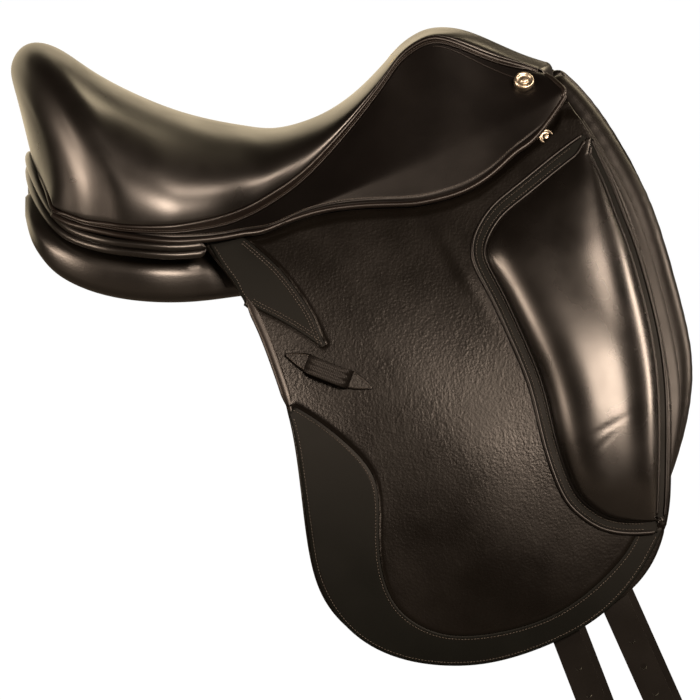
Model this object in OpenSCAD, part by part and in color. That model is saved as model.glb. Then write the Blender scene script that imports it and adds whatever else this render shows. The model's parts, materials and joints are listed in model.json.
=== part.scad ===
// Dressage saddle: tree, padded seat, panels, flaps, skirts, stirrup bars and girth straps.
// Millimetres. +X points to the horse's head, +Y to its left side, +Z up.
// The origin lies on the centre plane, on the roof of the gullet under the lowest point of the seat.
// Paired parts are written for the left side and mirrored for the right.

/* [Leather layers] */
// Thickness of the sweat flap
sweat_t = 4; // [3:0.5:5]
// Thickness of a girth strap
strap_t = 4; // [3:0.5:5]
// Thickness of the flap
flap_t = 4; // [3:0.5:5]
// Thickness of the smooth trims sewn on the flap
trim_t = 1.4; // [1:0.1:2]
// Thickness of the skirt
skirt_t = 3.5; // [2.5:0.5:4.5]
// Air between two leather layers
layer_gap = 0.6; // [0.5:0.1:1]

/* [Seat] */
// Thickness of the seat cover
cover_t = 2; // [1.5:0.1:2.5]
// Thickness of the seat foam at the back
foam_t = 24; // [18:1:26]
// Thickness of the seat foam over the pommel
foam_nose_t = 9; // [7:1:10]
// Diameter of the welt along the seat edge
welt_d = 4; // [3:0.5:4.5]

/* [Panels] */
// Half width of the gullet between the panels
gullet_half = 34; // [30:1:36]
// Thickness of the strip that lines the gullet roof
lining_t = 3; // [2:0.5:3.5]
// Thickness of the padded roll in front of the sweat flap
roll_t = 24; // [18:1:26]
// Crown of the thigh block above the flap
block_crown = 32; // [20:1:38]

/* [Girth straps] */
// Width of a girth strap
strap_w = 25; // [22:1:28]
// Length of a strap below the flap
tail_len = 250; // [230:5:280]
// Diameter of a buckle hole
hole_d = 5.5; // [4.5:0.5:6]
// Distance between buckle holes
hole_pitch = 25; // [22:1:25]
// Number of buckle holes in a strap end
hole_count = 9; // [6:1:9]

/* [Stirrup bar] */
// Height of the bar
bar_h = 11; // [10:0.5:12]
// Thickness of the bar
bar_t = 7; // [6.5:0.5:8]
// Slot for the stirrup leather between plate and bar
bar_slot = 12; // [11:0.5:13]
// Thickness of the plate on the tree
plate_t = 3; // [2.5:0.5:3.5]
// Diameter of the catch pin
pin_d = 3; // [2.5:0.5:3.5]
// Radial play of the catch on its pin
pin_play = 0.05; // [0.03:0.01:0.08]
// Diameter of a rivet
rivet_d = 5; // [4:0.5:6]

/* [Trim] */
// Diameter of a stud
stud_d = 18; // [15:0.5:20]
// Height of a stud
stud_h = 5; // [4:0.5:6]
// Width of the webbing keeper
keeper_w = 15; // [12:1:18]
// Room under the webbing keeper
keeper_gap = 8; // [7:0.5:10]

/* [Hidden] */
$fn = 48;

black = [0.10, 0.09, 0.09];
dark = [0.16, 0.14, 0.13];
wood = [0.72, 0.55, 0.36];
steel = [0.62, 0.63, 0.65];
chrome = [0.85, 0.86, 0.88];
foam = [0.86, 0.80, 0.55];
web = [0.80, 0.76, 0.66];

// Outer face of the tree's rails at the stirrup bars.
tree_face = 60;

// Layers outwards from the inside of the sweat flap.
strap_lo = sweat_t + 1;
strap_hi = strap_lo + strap_t;
flap_lo = strap_hi + 2;
flap_hi = flap_lo + flap_t;
trim_lo = flap_hi + layer_gap;
skirt_hi = flap_hi + 2 * layer_gap + skirt_t;

// Smooth curve through the points p, at t from 0 to 1.
function curve(p, t) =
    let (n = len(p) - 1, s = min(max(t, 0), 1) * n, i = min(floor(s), n - 1), f = s - i)
    let (a = p[max(i - 1, 0)], b = p[i], c = p[i + 1], d = p[min(i + 2, n)])
    b + 0.5 * f * ((c - a) + f * ((2 * a - 5 * b + 4 * c - d) + f * (3 * b - a - 3 * c + d)));

// Triangles of a solid between two grids of (nu + 1) x (nv + 1) points, the first grid outside.
function slab_faces(nu, nv) =
    let (w = nv + 1, n = (nu + 1) * w)
    concat(
        [for (i = [0:nu - 1], j = [0:nv - 1], h = [0, 1])
            let (a = i * w + j)
            h == 0 ? [a, a + w, a + w + 1] : [a, a + w + 1, a + 1]],
        [for (i = [0:nu - 1], j = [0:nv - 1], h = [0, 1])
            let (a = n + i * w + j)
            h == 0 ? [a, a + w + 1, a + w] : [a, a + 1, a + w + 1]],
        [for (i = [0:nu - 1], e = [0, 1], h = [0, 1])
            let (a = i * w + e * nv, b = a + w)
            e == 0
                ? (h == 0 ? [a, n + a, n + b] : [a, n + b, b])
                : (h == 0 ? [a, b, n + b] : [a, n + b, n + a])],
        [for (j = [0:nv - 1], e = [0, 1], h = [0, 1])
            let (a = e * nu * w + j, b = a + 1)
            e == 0
                ? (h == 0 ? [a, b, n + b] : [a, n + b, n + a])
                : (h == 0 ? [a, n + a, n + b] : [a, n + b, b])]);

// Triangles of a skin over nu + 1 rings of nv points, with both ends closed or the rings in a loop.
function tube_faces(nu, nv, loop = false) =
    concat(
        [for (i = [0:nu - (loop ? 0 : 1)], j = [0:nv - 1], h = [0, 1])
            let (i2 = (i + 1) % (nu + 1), j2 = (j + 1) % nv)
            h == 0 ? [i * nv + j, i2 * nv + j, i2 * nv + j2] : [i * nv + j, i2 * nv + j2, i * nv + j2]],
        loop ? [] : [for (j = [1:nv - 2]) [0, j, j + 1]],
        loop ? [] : [for (j = [1:nv - 2]) [nu * nv, nu * nv + j + 1, nu * nv + j]]);

module slab(nu, nv, outer, inner) {
    mid = outer(0.5, 0.5);
    turn = cross(outer(0.51, 0.5) - mid, outer(0.5, 0.51) - mid) * (mid - inner(0.5, 0.5)) > 0;
    faces = slab_faces(nu, nv);
    grid = [for (k = [0, 1], i = [0:nu], j = [0:nv])
        k == 0 ? outer(i / nu, j / nv) : inner(i / nu, j / nv)];
    polyhedron(grid, turn ? [for (f = faces) [f[0], f[2], f[1]]] : faces);
}

module tube(rings, loop = false) {
    polyhedron([for (r = rings) each r], tube_faces(len(rings) - 1, len(rings[0]), loop));
}

module side(name) {
    if (name == "right") mirror([0, 1, 0]) children();
    else children();
}

// Half width of the inside of the sweat flap: the barrel that the flaps lie on.
function barrel(x, z) =
    100 - 0.46 * z - 0.0006 * z * z + (x > 150 ? -12 : 5) * pow((x - 150) / 180, 2);
function on_barrel(p, off) = [p[0], barrel(p[0], p[1]) + off, p[1]];
function mix(a, b, f) = a + (b - a) * f;

// A leather sheet on the barrel between two edge curves, from lo to hi off the barrel.
module leather(edge_a, edge_b, nu, nv, lo, hi) {
    slab(nu, nv,
        function(u, v) on_barrel(mix(curve(edge_a, u), curve(edge_b, u), v), hi(u, v)),
        function(u, v) on_barrel(mix(curve(edge_a, u), curve(edge_b, u), v), lo(u, v)));
}

// Seat. The spine runs up the back of the cantle, over its rim and forward to the nose;
// the edge is the line of the welt. The points pair up, back to front.
seat_spine = [
    [-219, 52], [-231, 104], [-235, 130], [-222, 148], [-196, 145], [-165, 124], [-128, 103], [-90, 87],
    [-56, 77.5], [-30, 72.5], [-6, 70], [20, 75], [46, 86], [72, 104.5], [94, 126], [110, 141],
    [128, 152], [148, 156], [169, 152], [192, 142], [216, 131], [236, 124]];
seat_edge = [
    [-199, 105, 16], [-190, 114, 12], [-180, 122, 9], [-168, 130, 6], [-150, 137, 4], [-133, 141, 2],
    [-105, 140, 1], [-83, 134, 2], [-55, 121, 6], [-30, 105, 13], [-9, 92, 23], [16, 76, 38],
    [44, 63, 63], [71, 54, 92], [93, 48, 119], [107, 46, 137], [124, 46, 149], [142, 46, 152],
    [165, 46, 145], [189, 46, 136], [212, 46, 130], [228, 44, 126]];
// Roundness of the cross section: low is a peak, high is a box.
seat_round = [1.5, 1.9, 2.1, 2.3, 2.5, 2.6, 2.6, 2.6, 2.5, 2.4, 2.3, 2.2, 2.1, 2, 2, 2, 2, 2, 2, 2, 2, 2];

function flat_normal(d) = [d[1], -d[0]] / norm([d[0], d[1]]);

// A point of the seat at v from one edge to the other,
// moved inwards by d along the spine and by g at the edge.
function seat(u, v, d, g) =
    let (e = 0.004, u1 = max(u - e, 0), u2 = min(u + e, 1))
    let (s = curve(seat_spine, u) + d * flat_normal(curve(seat_spine, u2) - curve(seat_spine, u1)))
    let (f = flat_normal(curve(seat_edge, u2) - curve(seat_edge, u1)))
    let (w = curve(seat_edge, u) + g * [f[0], f[1], 0])
    let (a = 90 * abs(v), r = 2 / curve(seat_round, u))
    let (q = pow(sin(a), r), c = pow(cos(a), r))
    [mix(s[0], w[0], q * q), sign(v) * w[1] * q, mix(w[2], s[1], c)];

// Facets of the seat along and across, shared by the layers so that they nest.
seat_rows = 30;
seat_cols = 12;
foam_out = cover_t + layer_gap;
foam_side = 8;
function foam_depth(u) = foam_out + mix(foam_t, foam_nose_t, min(max((u - 0.5) / 0.3, 0), 1));

module seat_cover() {
    color(black) slab(seat_rows, seat_cols,
        function(u, v) seat(u, 2 * v - 1, 0, 0),
        function(u, v) seat(u, 2 * v - 1, cover_t, cover_t));
}

module seat_foam() {
    color(foam) slab(seat_rows, seat_cols,
        function(u, v) seat(u, 2 * v - 1, foam_out, foam_out),
        function(u, v) seat(u, 2 * v - 1, foam_depth(u), foam_out + foam_side));
}

// A ring of n points round c, across the path direction in plan, a wide and b high.
function ring(c, dir, a, b, n) =
    let (g = flat_normal(dir))
    [for (k = [0:n - 1]) let (t = -360 * k / n) c + [g[0] * a * cos(t), g[1] * a * cos(t), b * sin(t)]];

function swept(path, n, a, b, sides) =
    [for (i = [0:n])
        let (u = i / n, d = curve(path, min(u + 0.004, 1)) - curve(path, max(u - 0.004, 0)))
        ring(curve(path, u), d, a, b, sides)];

function flip_y(p) = [p[0], -p[1], p[2]];
function both_sides(half) = concat([for (p = half) flip_y(p)], [for (i = [len(half) - 2:-1:0]) half[i]]);

module seat_welt() {
    drop = welt_d / 2 + 0.5;
    back = [for (v = [0.33, 0.66]) seat(0, v, 1, 1)];
    half = [
        for (i = [len(seat_edge) - 1:-1:0]) seat_edge[i] - [0, 1, drop],
        back[1] - [0, 0, drop], back[0] - [0, 0, drop], [seat_spine[0][0] + 1, 0, seat_spine[0][1] - drop]];
    color(black) tube(swept(both_sides(half), 64, welt_d / 2, welt_d / 2, 5));
}

// Rear facing: the padded strip between the seat and the panels.
facing_path = [
    [-66, 141, -23], [-92, 147, -24], [-119, 148, -22], [-145, 145, -19], [-165, 137, -15],
    [-185, 121, -8], [-200, 98, 4], [-211, 68, 19], [-218, 34, 32], [-220, 0, 37]];

module cantle_facing() {
    color(black) tube(swept(both_sides(facing_path), 40, 4, 4.5, 6));
}

// Tree: a closed wooden ring of two rails, head and cantle. Outer edge, inner edge and depth, back to front.
tree_outer = [
    [-192.7, 0, 62], [-187, 48, 56], [-168, 92, 37], [-140, 116, 16], [-95, 116, 6], [-45, 98, 11.4],
    [10, 70, 20], [60, 60, 34], [110, 59.8, 50], [160, 60, 54], [200, 58.6, 62], [222, 48, 86],
    [230, 25, 107.5], [232, 0, 112.2]];
tree_inner = [
    [-158, 0, 52], [-150, 36, 47], [-132, 68, 34], [-110, 82, 20], [-80, 84, 14], [-45, 66, 14],
    [10, 48, 22], [60, 45, 34], [110, 46, 50], [160, 46, 56], [196, 45, 66], [206, 36, 86],
    [212, 20, 101], [214, 0, 104]];
tree_rows = 30;
tree_depth = [14, 14, 14, 13, 12, 12, 13, 17, 34, 38, 22, 14, 17, 17];

function tree_ring(u) =
    let (o = curve(tree_outer, u), i = curve(tree_inner, u), h = curve(tree_depth, u))
    [o, i, i - [0, 0, h], o - [0, 0, h]];

module tree() {
    left = [for (k = [0:tree_rows]) tree_ring(k / tree_rows)];
    right = [for (k = [tree_rows - 1:-1:1]) [for (p = left[k]) flip_y(p)]];
    color(wood) tube(concat(left, right), loop = true);
}

// Cantle board: the upright plywood that carries the back of the seat.
board_foot = [[-184, 0, 60.4], [-178, 42, 55.6], [-158, 78, 40]];
board_top = [[-192, 0, 98], [-185, 42, 88], [-163, 78, 54]];

module cantle_board() {
    t = 6;
    foot = concat([for (i = [2:-1:1]) flip_y(board_foot[i])], board_foot);
    top = concat([for (i = [2:-1:1]) flip_y(board_top[i])], board_top);
    color(wood) slab(16, 4,
        function(u, v) mix(curve(top, u), curve(foot, u), v),
        function(u, v) mix(curve(top, u), curve(foot, u), v) + [t, 0, 0]);
}

// Seat webs: two straps from head to cantle under the foam.
module seat_webs() {
    web_t = 2;
    under = function(u, v, d)
        let (w = mix(4, 28, u) / seat_rows)
        seat(w, 0.12 * (v - 0.5), foam_depth(w) + layer_gap + d, foam_side);
    color(web) for (s = [-1, 1]) slab(24, 1,
        function(u, v) under(u, v + s * 0.83, 0),
        function(u, v) under(u, v + s * 0.83, web_t));
}

// Spring strips: a steel strip under each rail.
module spring_strips() {
    strip_t = 1.5;
    strip_gap = layer_gap + 0.3;
    below = function(u, v, d)
        let (r = tree_ring(mix(8, 18, u) / tree_rows))
        mix(r[2], r[3], mix(0.35, 0.75, v)) - [0, 0, strip_gap + d];
    color(steel) for (name = ["left", "right"]) side(name) slab(10, 1,
        function(u, v) below(u, v, 0),
        function(u, v) below(u, v, strip_t));
}

// Head plate: the steel arch under the head of the tree, ending in the two points.
head_line = [[0, 84], [24, 78], [34, 66], [44, 46], [58, 20], [74, -4], [92, -36]];
head_x = 206;
head_w = 22;
head_t = 4;

module head_plate() {
    low = concat([for (i = [6:-1:1]) [-head_line[i][0], head_line[i][1]]], head_line);
    top = [for (i = [len(low) - 1:-1:0]) low[i] + [sign(low[i][0]) * 0.8 * head_t, 0.55 * head_t]];
    color(steel) translate([head_x, 0, 0]) rotate([90, 0, 90])
        linear_extrude(head_w) polygon(concat(low, top));
}

// Point pocket: the leather sleeve on the panel that takes the end of a point.
module point_pocket(name) {
    wall = 2;
    play = 0.8;
    inner = [mix(head_line[4], head_line[5], 0.7), head_line[5], head_line[6]];
    far = 1.25 * head_t + play;
    color(dark) side(name) translate([head_x - 6, 0, 0]) rotate([90, 0, 90]) linear_extrude(head_w + 12)
        polygon([
            inner[0] - [wall + play, 0], inner[0] - [play, 0], inner[1] - [play, 0], inner[2] - [play, 2],
            inner[2] + [far, -2], inner[1] + [far, 0], inner[0] + [far, 0],
            inner[0] + [far + wall, 0], inner[1] + [far + wall, 0], inner[2] + [far + wall, -2 - wall],
            inner[2] - [wall + play, 2 + wall], inner[1] - [wall + play, 0]]);
}

// Panels: inner and outer half width, then top and bottom heights at the inner and outer side.
panel_x = [-224, -219, -210, -195, -170, -140, -105, -70, -40, 0, 50, 100, 150, 190, 220, 245, 258];
panel_shape = [
    [46, 66, 20, 8, 12, 2], [38, 88, 27, 2, -4, -18], [35, 106, 30, -6, -16, -34],
    [34, 120, 30, -12, -28, -50], [34, 132, 22, -20, -38, -63], [34, 138, 14, -25, -46, -71],
    [34, 138, 8, -28, -50, -75], [34, 127, 4, -30, -52, -75], [34, 113, 4, -24, -52, -72],
    [34, 103, 4, -12, -52, -68], [34, 97, 4, -10, -50, -66], [34, 93, 8, -10, -46, -66],
    [34, 91, 10, -18, -40, -68], [34, 88, 16, -30, -32, -74], [36, 87, 26, -44, -14, -80],
    [42, 82, 34, -44, 10, -74], [50, 74, 30, -30, 14, -54]];

// Under the flap the panel's outer side lies against the sweat flap.
function panel_ring(i, n) =
    let (p = panel_shape[i], x = panel_x[i], in = p[0] + gullet_half - 34)
    let (lean = min(max((150 - x) / 50, 0), 1) * min(max((x + 70) / 60, 0), 1))
    [for (k = [0:n - 1])
        let (t = 360 * k / n, c = cos(t), s = sin(t))
        let (a = 0.5 + 0.5 * sign(c) * pow(abs(c), 0.6), b = 0.5 + 0.5 * sign(s) * pow(abs(s), 0.6))
        let (z = mix(mix(p[4], p[5], a), mix(p[2], p[3], a), b))
        [x, mix(in, mix(p[1], barrel(x, z) - 3 * layer_gap, lean), a), z]];

module panel(name) {
    sections = [for (i = [0:len(panel_x) - 1]) panel_ring(i, 14)];
    m = 2 * (len(panel_x) - 1);
    color(black) side(name) tube([for (k = [0:m]) curve(sections, k / m)]);
}

module gullet_lining() {
    line = [for (i = [3:13]) [panel_x[i], panel_shape[i][2] - 4]];
    half = gullet_half + 14.5;
    color(dark) slab(22, 2,
        function(u, v) let (p = curve(line, u)) [p[0], half * (2 * v - 1), p[1] + lining_t],
        function(u, v) let (p = curve(line, u)) [p[0], half * (2 * v - 1), p[1]]);
}

// Four-sided patch: two side curves from the top down, and a top curve from side to side.
function patch(side_a, side_b, top, u, v) =
    let (a = curve(side_a, u), b = curve(side_b, u))
    mix(a, b, v) + pow(1 - u, 3) * (curve(top, v) - mix(side_a[0], side_b[0], v));

module hide(side_a, side_b, top, nu, nv, lo, hi) {
    slab(nu, nv,
        function(u, v) on_barrel(patch(side_a, side_b, top, u, v), hi),
        function(u, v) on_barrel(patch(side_a, side_b, top, u, v), lo));
}

// Sweat flap, under the straps. Side outlines are [x, z].
sweat_rear = [
    [-38, -24], [-20, -62], [2, -110], [20, -170], [30, -230], [40, -280], [62, -318],
    [100, -342], [140, -350]];
sweat_front = [
    [264, 80], [292, 34], [313, -13], [331, -75], [341, -129], [342, -170], [334, -215],
    [300, -285], [180, -350]];
sweat_top = [
    [-38, -24], [0, -12], [40, -4], [90, 0], [130, 0], [165, 8], [200, 30], [235, 58], [264, 80]];

module sweat_flap(name) {
    color(black) side(name) hide(sweat_rear, sweat_front, sweat_top, 12, 8, 0, sweat_t);
}

// Front roll: the padded edge of the panel ahead of the sweat flap.
// Points of its middle line, each with the half width there.
roll_line = [
    [246, 102, 6], [258, 90, 9], [273, 68, 13], [291, 37, 15], [308, 0, 16], [322, -45, 16],
    [333, -90, 16], [340, -130, 15], [338, -170, 13], [330, -208, 10], [321, -242, 6]];

module front_roll(name) {
    n = 18;
    sides = 8;
    color(black) side(name) tube([for (k = [0:n])
        let (u = k / n, p = curve(roll_line, u))
        let (d = curve(roll_line, min(u + 0.01, 1)) - curve(roll_line, max(u - 0.01, 0)))
        let (g = flat_normal(d), h = 0.5 * roll_t * (0.4 + 0.6 * p[2] / 16))
        [for (j = [0:sides - 1])
            let (t = -360 * j / sides, x = p[0] - g[0] * p[2] * cos(t), z = p[1] - g[1] * p[2] * cos(t))
            [x, barrel(x, z) - h - layer_gap + h * sin(t), z]]]);
}

// Girth web: tacked to the rail below the stirrup bar, it carries both straps of one side.
web_out = [[tree_face + 0.4, 21], [78, 20], [95, 15], [104, 8], [108.5, -2], [113, -12]];
web_x = [99, 163];

module girth_web(name) {
    t = 2;
    in = [for (i = [len(web_out) - 1:-1:0]) web_out[i] - [i == 0 ? 0 : t * 0.8, t * 0.7]];
    color(web) side(name) translate([web_x[0], 0, 0]) rotate([90, 0, 90])
        linear_extrude(web_x[1] - web_x[0]) polygon(concat(web_out, in));
}

// Girth straps: the upper length lies between sweat flap and flap, the tail hangs free below the flap.
// Each has its foot, where the tail bends, and its lean forward from the vertical.
front_foot = [290, -349];
rear_foot = [244, -371];
front_lean = 23;
rear_lean = 20;
strap_head_z = -20;
first_hole = 16;

module billet(name, foot, lean) {
    dir = [sin(lean), -cos(lean)];
    across = [cos(lean), sin(lean)] * strap_w / 2;
    low = foot - dir * (strap_t / 2 + layer_gap);
    top = foot - dir * (strap_head_z - foot[1]) / cos(lean);
    color(dark) side(name) leather([top - across, low - across], [top + across, low + across], 14, 1,
        function(u, v) strap_lo, function(u, v) strap_hi);
}

// Where a tail bends: the middle of the strap's thickness at its foot.
function bend(foot) = [foot[0], barrel(foot[0], foot[1]) + strap_lo + strap_t / 2, foot[1]];

module tail(name, foot, lean) {
    tip = 18;
    w = strap_w / 2;
    color(dark) side(name) translate(bend(foot)) rotate([0, -lean, 0]) {
        translate([0, strap_t / 2, 0]) rotate([90, 0, 0]) linear_extrude(strap_t) difference() {
            polygon([
                [-w, 0], [w, 0], [w, -tail_len + tip], [w / 3, -tail_len],
                [-w / 3, -tail_len], [-w, -tail_len + tip]]);
            for (k = [0:hole_count - 1]) translate([0, -first_hole - k * hole_pitch]) circle(d = hole_d);
        }
        rotate([0, 90, 0]) cylinder(d = strap_t, h = strap_w, center = true);
    }
}

// Flap, split where it bends: the head stays on the tree, the rest lifts.
flap_rear = [
    [-62, -24], [-44, -47], [-23, -84], [-7, -126], [7, -177], [15, -243], [25, -304],
    [50, -344], [91, -370], [136, -378]];
flap_front = [
    [268, 68], [288, 32], [306, -15], [321, -72], [331, -130], [333, -175], [331, -225],
    [326, -265], [288, -325], [170, -376]];
flap_top = [
    [-62, -24], [-37, -17], [-8, -9], [20, -2], [60, 5], [118, 7], [158, 14], [188, 28],
    [212, 44], [236, 56], [268, 68]];
head_low = [
    [-20, -11], [5, -4.7], [30, 1.6], [60, 7], [118, 9.2], [158, 16.2], [188, 30],
    [212, 46], [236, 57.6], [266, 68.8]];
head_top = [
    [-18, -6.5], [8, 2.5], [34, 12], [64, 20], [118, 22], [155, 27], [183, 44], [206, 66],
    [226, 82], [248, 88]];

module flap(name) {
    color(black) side(name) hide(flap_rear, flap_front, flap_top, 14, 10, flap_lo, flap_hi);
}

module flap_head(name) {
    color(black) side(name) leather(head_top, head_low, 18, 1,
        function(u, v) flap_lo, function(u, v) flap_hi);
}

// Smooth lower border of the flap, outer and inner edge.
border_out = [
    [3, -160], [9, -186], [14, -225], [19, -268], [28, -306], [52, -344], [90, -368],
    [135, -376], [180, -372], [228, -358], [270, -336], [302, -304], [322, -274]];
border_in = [
    [8, -156], [30, -170], [56, -192], [75, -218], [79, -250], [79, -285], [90, -324], [118, -348], [155, -355],
    [205, -347], [250, -326], [285, -295], [303, -275]];

module flap_border(name) {
    color(dark) side(name) leather(border_in, border_out, 28, 2,
        function(u, v) trim_lo, function(u, v) trim_lo + trim_t);
}

// Smooth corner at the top rear of the flap, rear and front edge.
corner_rear = [[-58, -27], [-50, -38], [-41, -51], [-32, -66], [-10, -79], [14, -93], [33, -106]];
corner_front = [[-26, -18], [-12, -31], [3, -47], [14, -62], [25, -80], [32, -97], [36, -104]];

module flap_corner(name) {
    color(dark) side(name) leather(corner_front, corner_rear, 12, 2,
        function(u, v) trim_lo, function(u, v) trim_lo + trim_t);
}

// Thigh block, rear and front edge from the top down, with its share of the crown.
block_rear = [
    [250, 54], [234, 46], [206, 26], [183, 8], [169, -14], [168, -38], [181, -66], [198, -104], [213, -146],
    [224, -190], [239, -232], [263, -259], [298, -269]];
block_front = [
    [271, 60], [278, 50], [286, 33], [293, 15], [301, -5], [309, -28], [316, -58], [325, -97], [330, -135],
    [331, -175], [329, -212], [327, -238], [325, -258]];
block_rise = [0.06, 0.2, 0.38, 0.55, 0.7, 0.82, 0.92, 1, 1, 0.96, 0.8, 0.45, 0.1];

function dome(v) = pow(max(1 - pow(abs(2 * v - 1), 2.6), 0), 1 / 2);

module thigh_block(name) {
    color(black) side(name) leather(block_front, block_rear, 16, 8,
        function(u, v) trim_lo,
        function(u, v) trim_lo + 2 + block_crown * curve(block_rise, u) * dome(v));
}

// Keeper for the end of the stirrup leather: a webbing loop with pointed leather tabs.
keeper_mid = [35, -126];
keeper_half = 21;
keeper_turn = -16;

function keeper_at(a, b) =
    keeper_mid + [a * cos(keeper_turn) - b * sin(keeper_turn), a * sin(keeper_turn) + b * cos(keeper_turn)];

module keeper_loop(name) {
    t = 2;
    w = keeper_w / 2;
    rise = function(u) trim_lo + keeper_gap * (1 - pow(abs(2 * u - 1), 6));
    edge = function(b) [keeper_at(-keeper_half, b), keeper_at(keeper_half, b)];
    color(dark) side(name) leather(edge(w), edge(-w), 12, 1,
        function(u, v) rise(u), function(u, v) rise(u) + t);
}

module keeper_tabs(name) {
    w = keeper_w / 2;
    near = keeper_half + layer_gap;
    edge = function(s, w)
        [keeper_at(s * near, w), keeper_at(s * (near + 10), w * 0.7), keeper_at(s * (near + 19), w / 7)];
    color(black) side(name) for (s = [-1, 1]) leather(edge(s, s * w), edge(s, -s * w), 4, 1,
        function(u, v) trim_lo, function(u, v) trim_lo + trim_t);
}

// Skirt: the head is sewn under the seat welt, the lower part lifts about the straight fold.
fold_lift = 5;
fold_front = [249, barrel(249, 101) + skirt_hi + fold_lift, 101];
fold_rear = [-12, barrel(-12, -3) + skirt_hi, -3];
function fold(x) = mix(fold_rear, fold_front, (x - fold_rear[0]) / (fold_front[0] - fold_rear[0]));
function skirt_lift(x) = fold_lift * pow(min(max((x - 150) / 60, 0), 1), 2);

skirt_tail = [
    [-200, 110, 9], [-190, 121, 5], [-181, 129, 2], [-169, 136, -1], [-151, 143, -5], [-134, 147, -8],
    [-106, 149, -12], [-84, 146, -13], [-57, 139, -12], [-33, 131, -9]];
fold_x = [-11, 16, 46, 76, 103, 122, 143, 163, 185, 206, 228, 248.5];
skirt_low = concat(skirt_tail, [for (x = fold_x) fold(x)]);
skirt_top = [for (e = seat_edge) e + [0, 1, -welt_d - 1.2]];
skirt_in = [0, -skirt_t, -0.3 * skirt_t];

module skirt_head(name) {
    color(black) side(name) slab(42, 2,
        function(u, v) mix(curve(skirt_top, u), curve(skirt_low, u), v),
        function(u, v) mix(curve(skirt_top, u), curve(skirt_low, u), v) + skirt_in);
}

// Lower edge of the lifting part.
skirt_hem = [
    [-15, -7], [14, 3], [48, 10], [83, 12], [118, 13], [148, 19], [171, 28], [187, 39], [200, 50], [214, 61],
    [229, 72], [240, 82], [246, 92]];
hem_fold_x = [-11, 17, 50, 84, 118, 147, 169, 186, 200, 214, 229, 240, 248];

module skirt(name) {
    drop = [0, 0, -1];
    hem = [for (p = skirt_hem) on_barrel(p, skirt_hi + skirt_lift(p[0]))];
    top = [for (x = hem_fold_x) fold(x) + drop];
    color(black) side(name) slab(26, 3,
        function(u, v) mix(curve(top, u), curve(hem, u), v),
        function(u, v) mix(curve(top, u), curve(hem, u), v) + skirt_in);
}

// Pommel facing: the leather that closes the front of the head.
module pommel_facing() {
    out = [[0, 116], [30, 115], [46, 108], [52, 96], [52, 84]];
    in = [[44, 78], [34, 90], [20, 98], [0, 100]];
    half = concat(out, in);
    other = [for (i = [len(half) - 2:-1:1]) [-half[i][0], half[i][1]]];
    color(black) translate([234, 0, 0]) rotate([90, 0, 90]) linear_extrude(2.5) polygon(concat(half, other));
}

// Stirrup bar: plate on the rail, neck in front, open bar with a hinged catch at its rear end.
bar_z = 31.5;
bar_front = 196;
bar_rear = 123;
plate_rear = 112;
plate_h = 20;
neck = 12;
plate_y = tree_face + 0.4;
bar_y = plate_y + plate_t + bar_slot;
fork_t = 2.2;
catch_len = 20;

module bar_profile(h) {
    translate([0, 0, bar_z - h / 2]) linear_extrude(h) children();
}

module stirrup_bar(name) {
    color(steel) side(name) difference() {
        union() {
            translate([plate_rear, plate_y, bar_z - bar_h / 2])
                cube([bar_front - plate_rear, plate_t, plate_h]);
            translate([bar_front - neck, plate_y, bar_z - bar_h / 2])
                cube([neck, plate_t + bar_slot + bar_t, bar_h]);
            translate([bar_rear, bar_y, bar_z - bar_h / 2]) cube([bar_front - bar_rear - 1, bar_t, bar_h]);
            translate([bar_rear, bar_y, bar_z]) rotate([-90, 0, 0]) cylinder(d = bar_h, h = bar_t);
        }
        translate([bar_rear - bar_h, bar_y + bar_t / 2 - fork_t / 2 - 0.2, bar_z - bar_h])
            cube([1.75 * bar_h, fork_t + 0.4, 2 * bar_h]);
        translate([bar_rear, bar_y - 1, bar_z]) rotate([-90, 0, 0]) cylinder(d = pin_d + 0.04, h = bar_t + 2);
        for (x = rivet_x) translate([x, plate_y - 1, rivet_z]) rotate([-90, 0, 0])
            cylinder(d = rivet_d + 0.2, h = plate_t + 2);
    }
}

rivet_x = [122, 150, 178];
rivet_z = bar_z - bar_h / 2 + plate_h - 5;

module bar_rivets() {
    color(steel) for (name = ["left", "right"], x = rivet_x)
        side(name) translate([x, plate_y, rivet_z]) rotate([-90, 0, 0]) {
            cylinder(d = rivet_d, h = plate_t + 0.3);
            translate([0, 0, plate_t + 0.2]) cylinder(d1 = 1.7 * rivet_d, d2 = rivet_d, h = 1.3);
        }
}

module bar_catch(name) {
    body_h = bar_h - 2;
    y = bar_y + bar_t / 2;
    color(steel) side(name) difference() {
        union() {
            translate([bar_rear, y - fork_t / 2, bar_z]) rotate([-90, 0, 0]) cylinder(d = body_h, h = fork_t);
            translate([bar_rear - bar_h / 2 - 1, y - fork_t / 2, bar_z - body_h / 2])
                cube([bar_h / 2 + 1, fork_t, body_h]);
            translate([bar_rear - bar_h / 2 - 0.6 - catch_len, bar_y, bar_z - body_h / 2])
                cube([catch_len, bar_t, body_h]);
        }
        translate([bar_rear, bar_y - 1, bar_z]) rotate([-90, 0, 0])
            cylinder(d = pin_d + 2 * pin_play, h = bar_t + 2);
    }
}

module catch_pin(name) {
    color(steel) side(name) translate([bar_rear, bar_y, bar_z]) rotate([-90, 0, 0])
        cylinder(d = pin_d, h = bar_t);
}

// Studs: a rim and a low dome, set square to the leather.
module stud(d, h) {
    rotate_extrude() polygon(concat(
        [[0, 0], [d / 2, 0], [d / 2, h * 0.3]],
        [for (k = [1:8]) [d * 0.44 * cos(90 * k / 8), h * (0.3 + 0.7 * sin(90 * k / 8))]]));
}

module square_to(p, n) {
    translate(p) rotate([0, acos(n[2]), atan2(n[1], n[0])]) children();
}

// The outward direction square to two edges.
function outward(a, b) = let (n = cross(a, b) / norm(cross(a, b))) n[1] > 0 ? n : -n;

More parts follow.
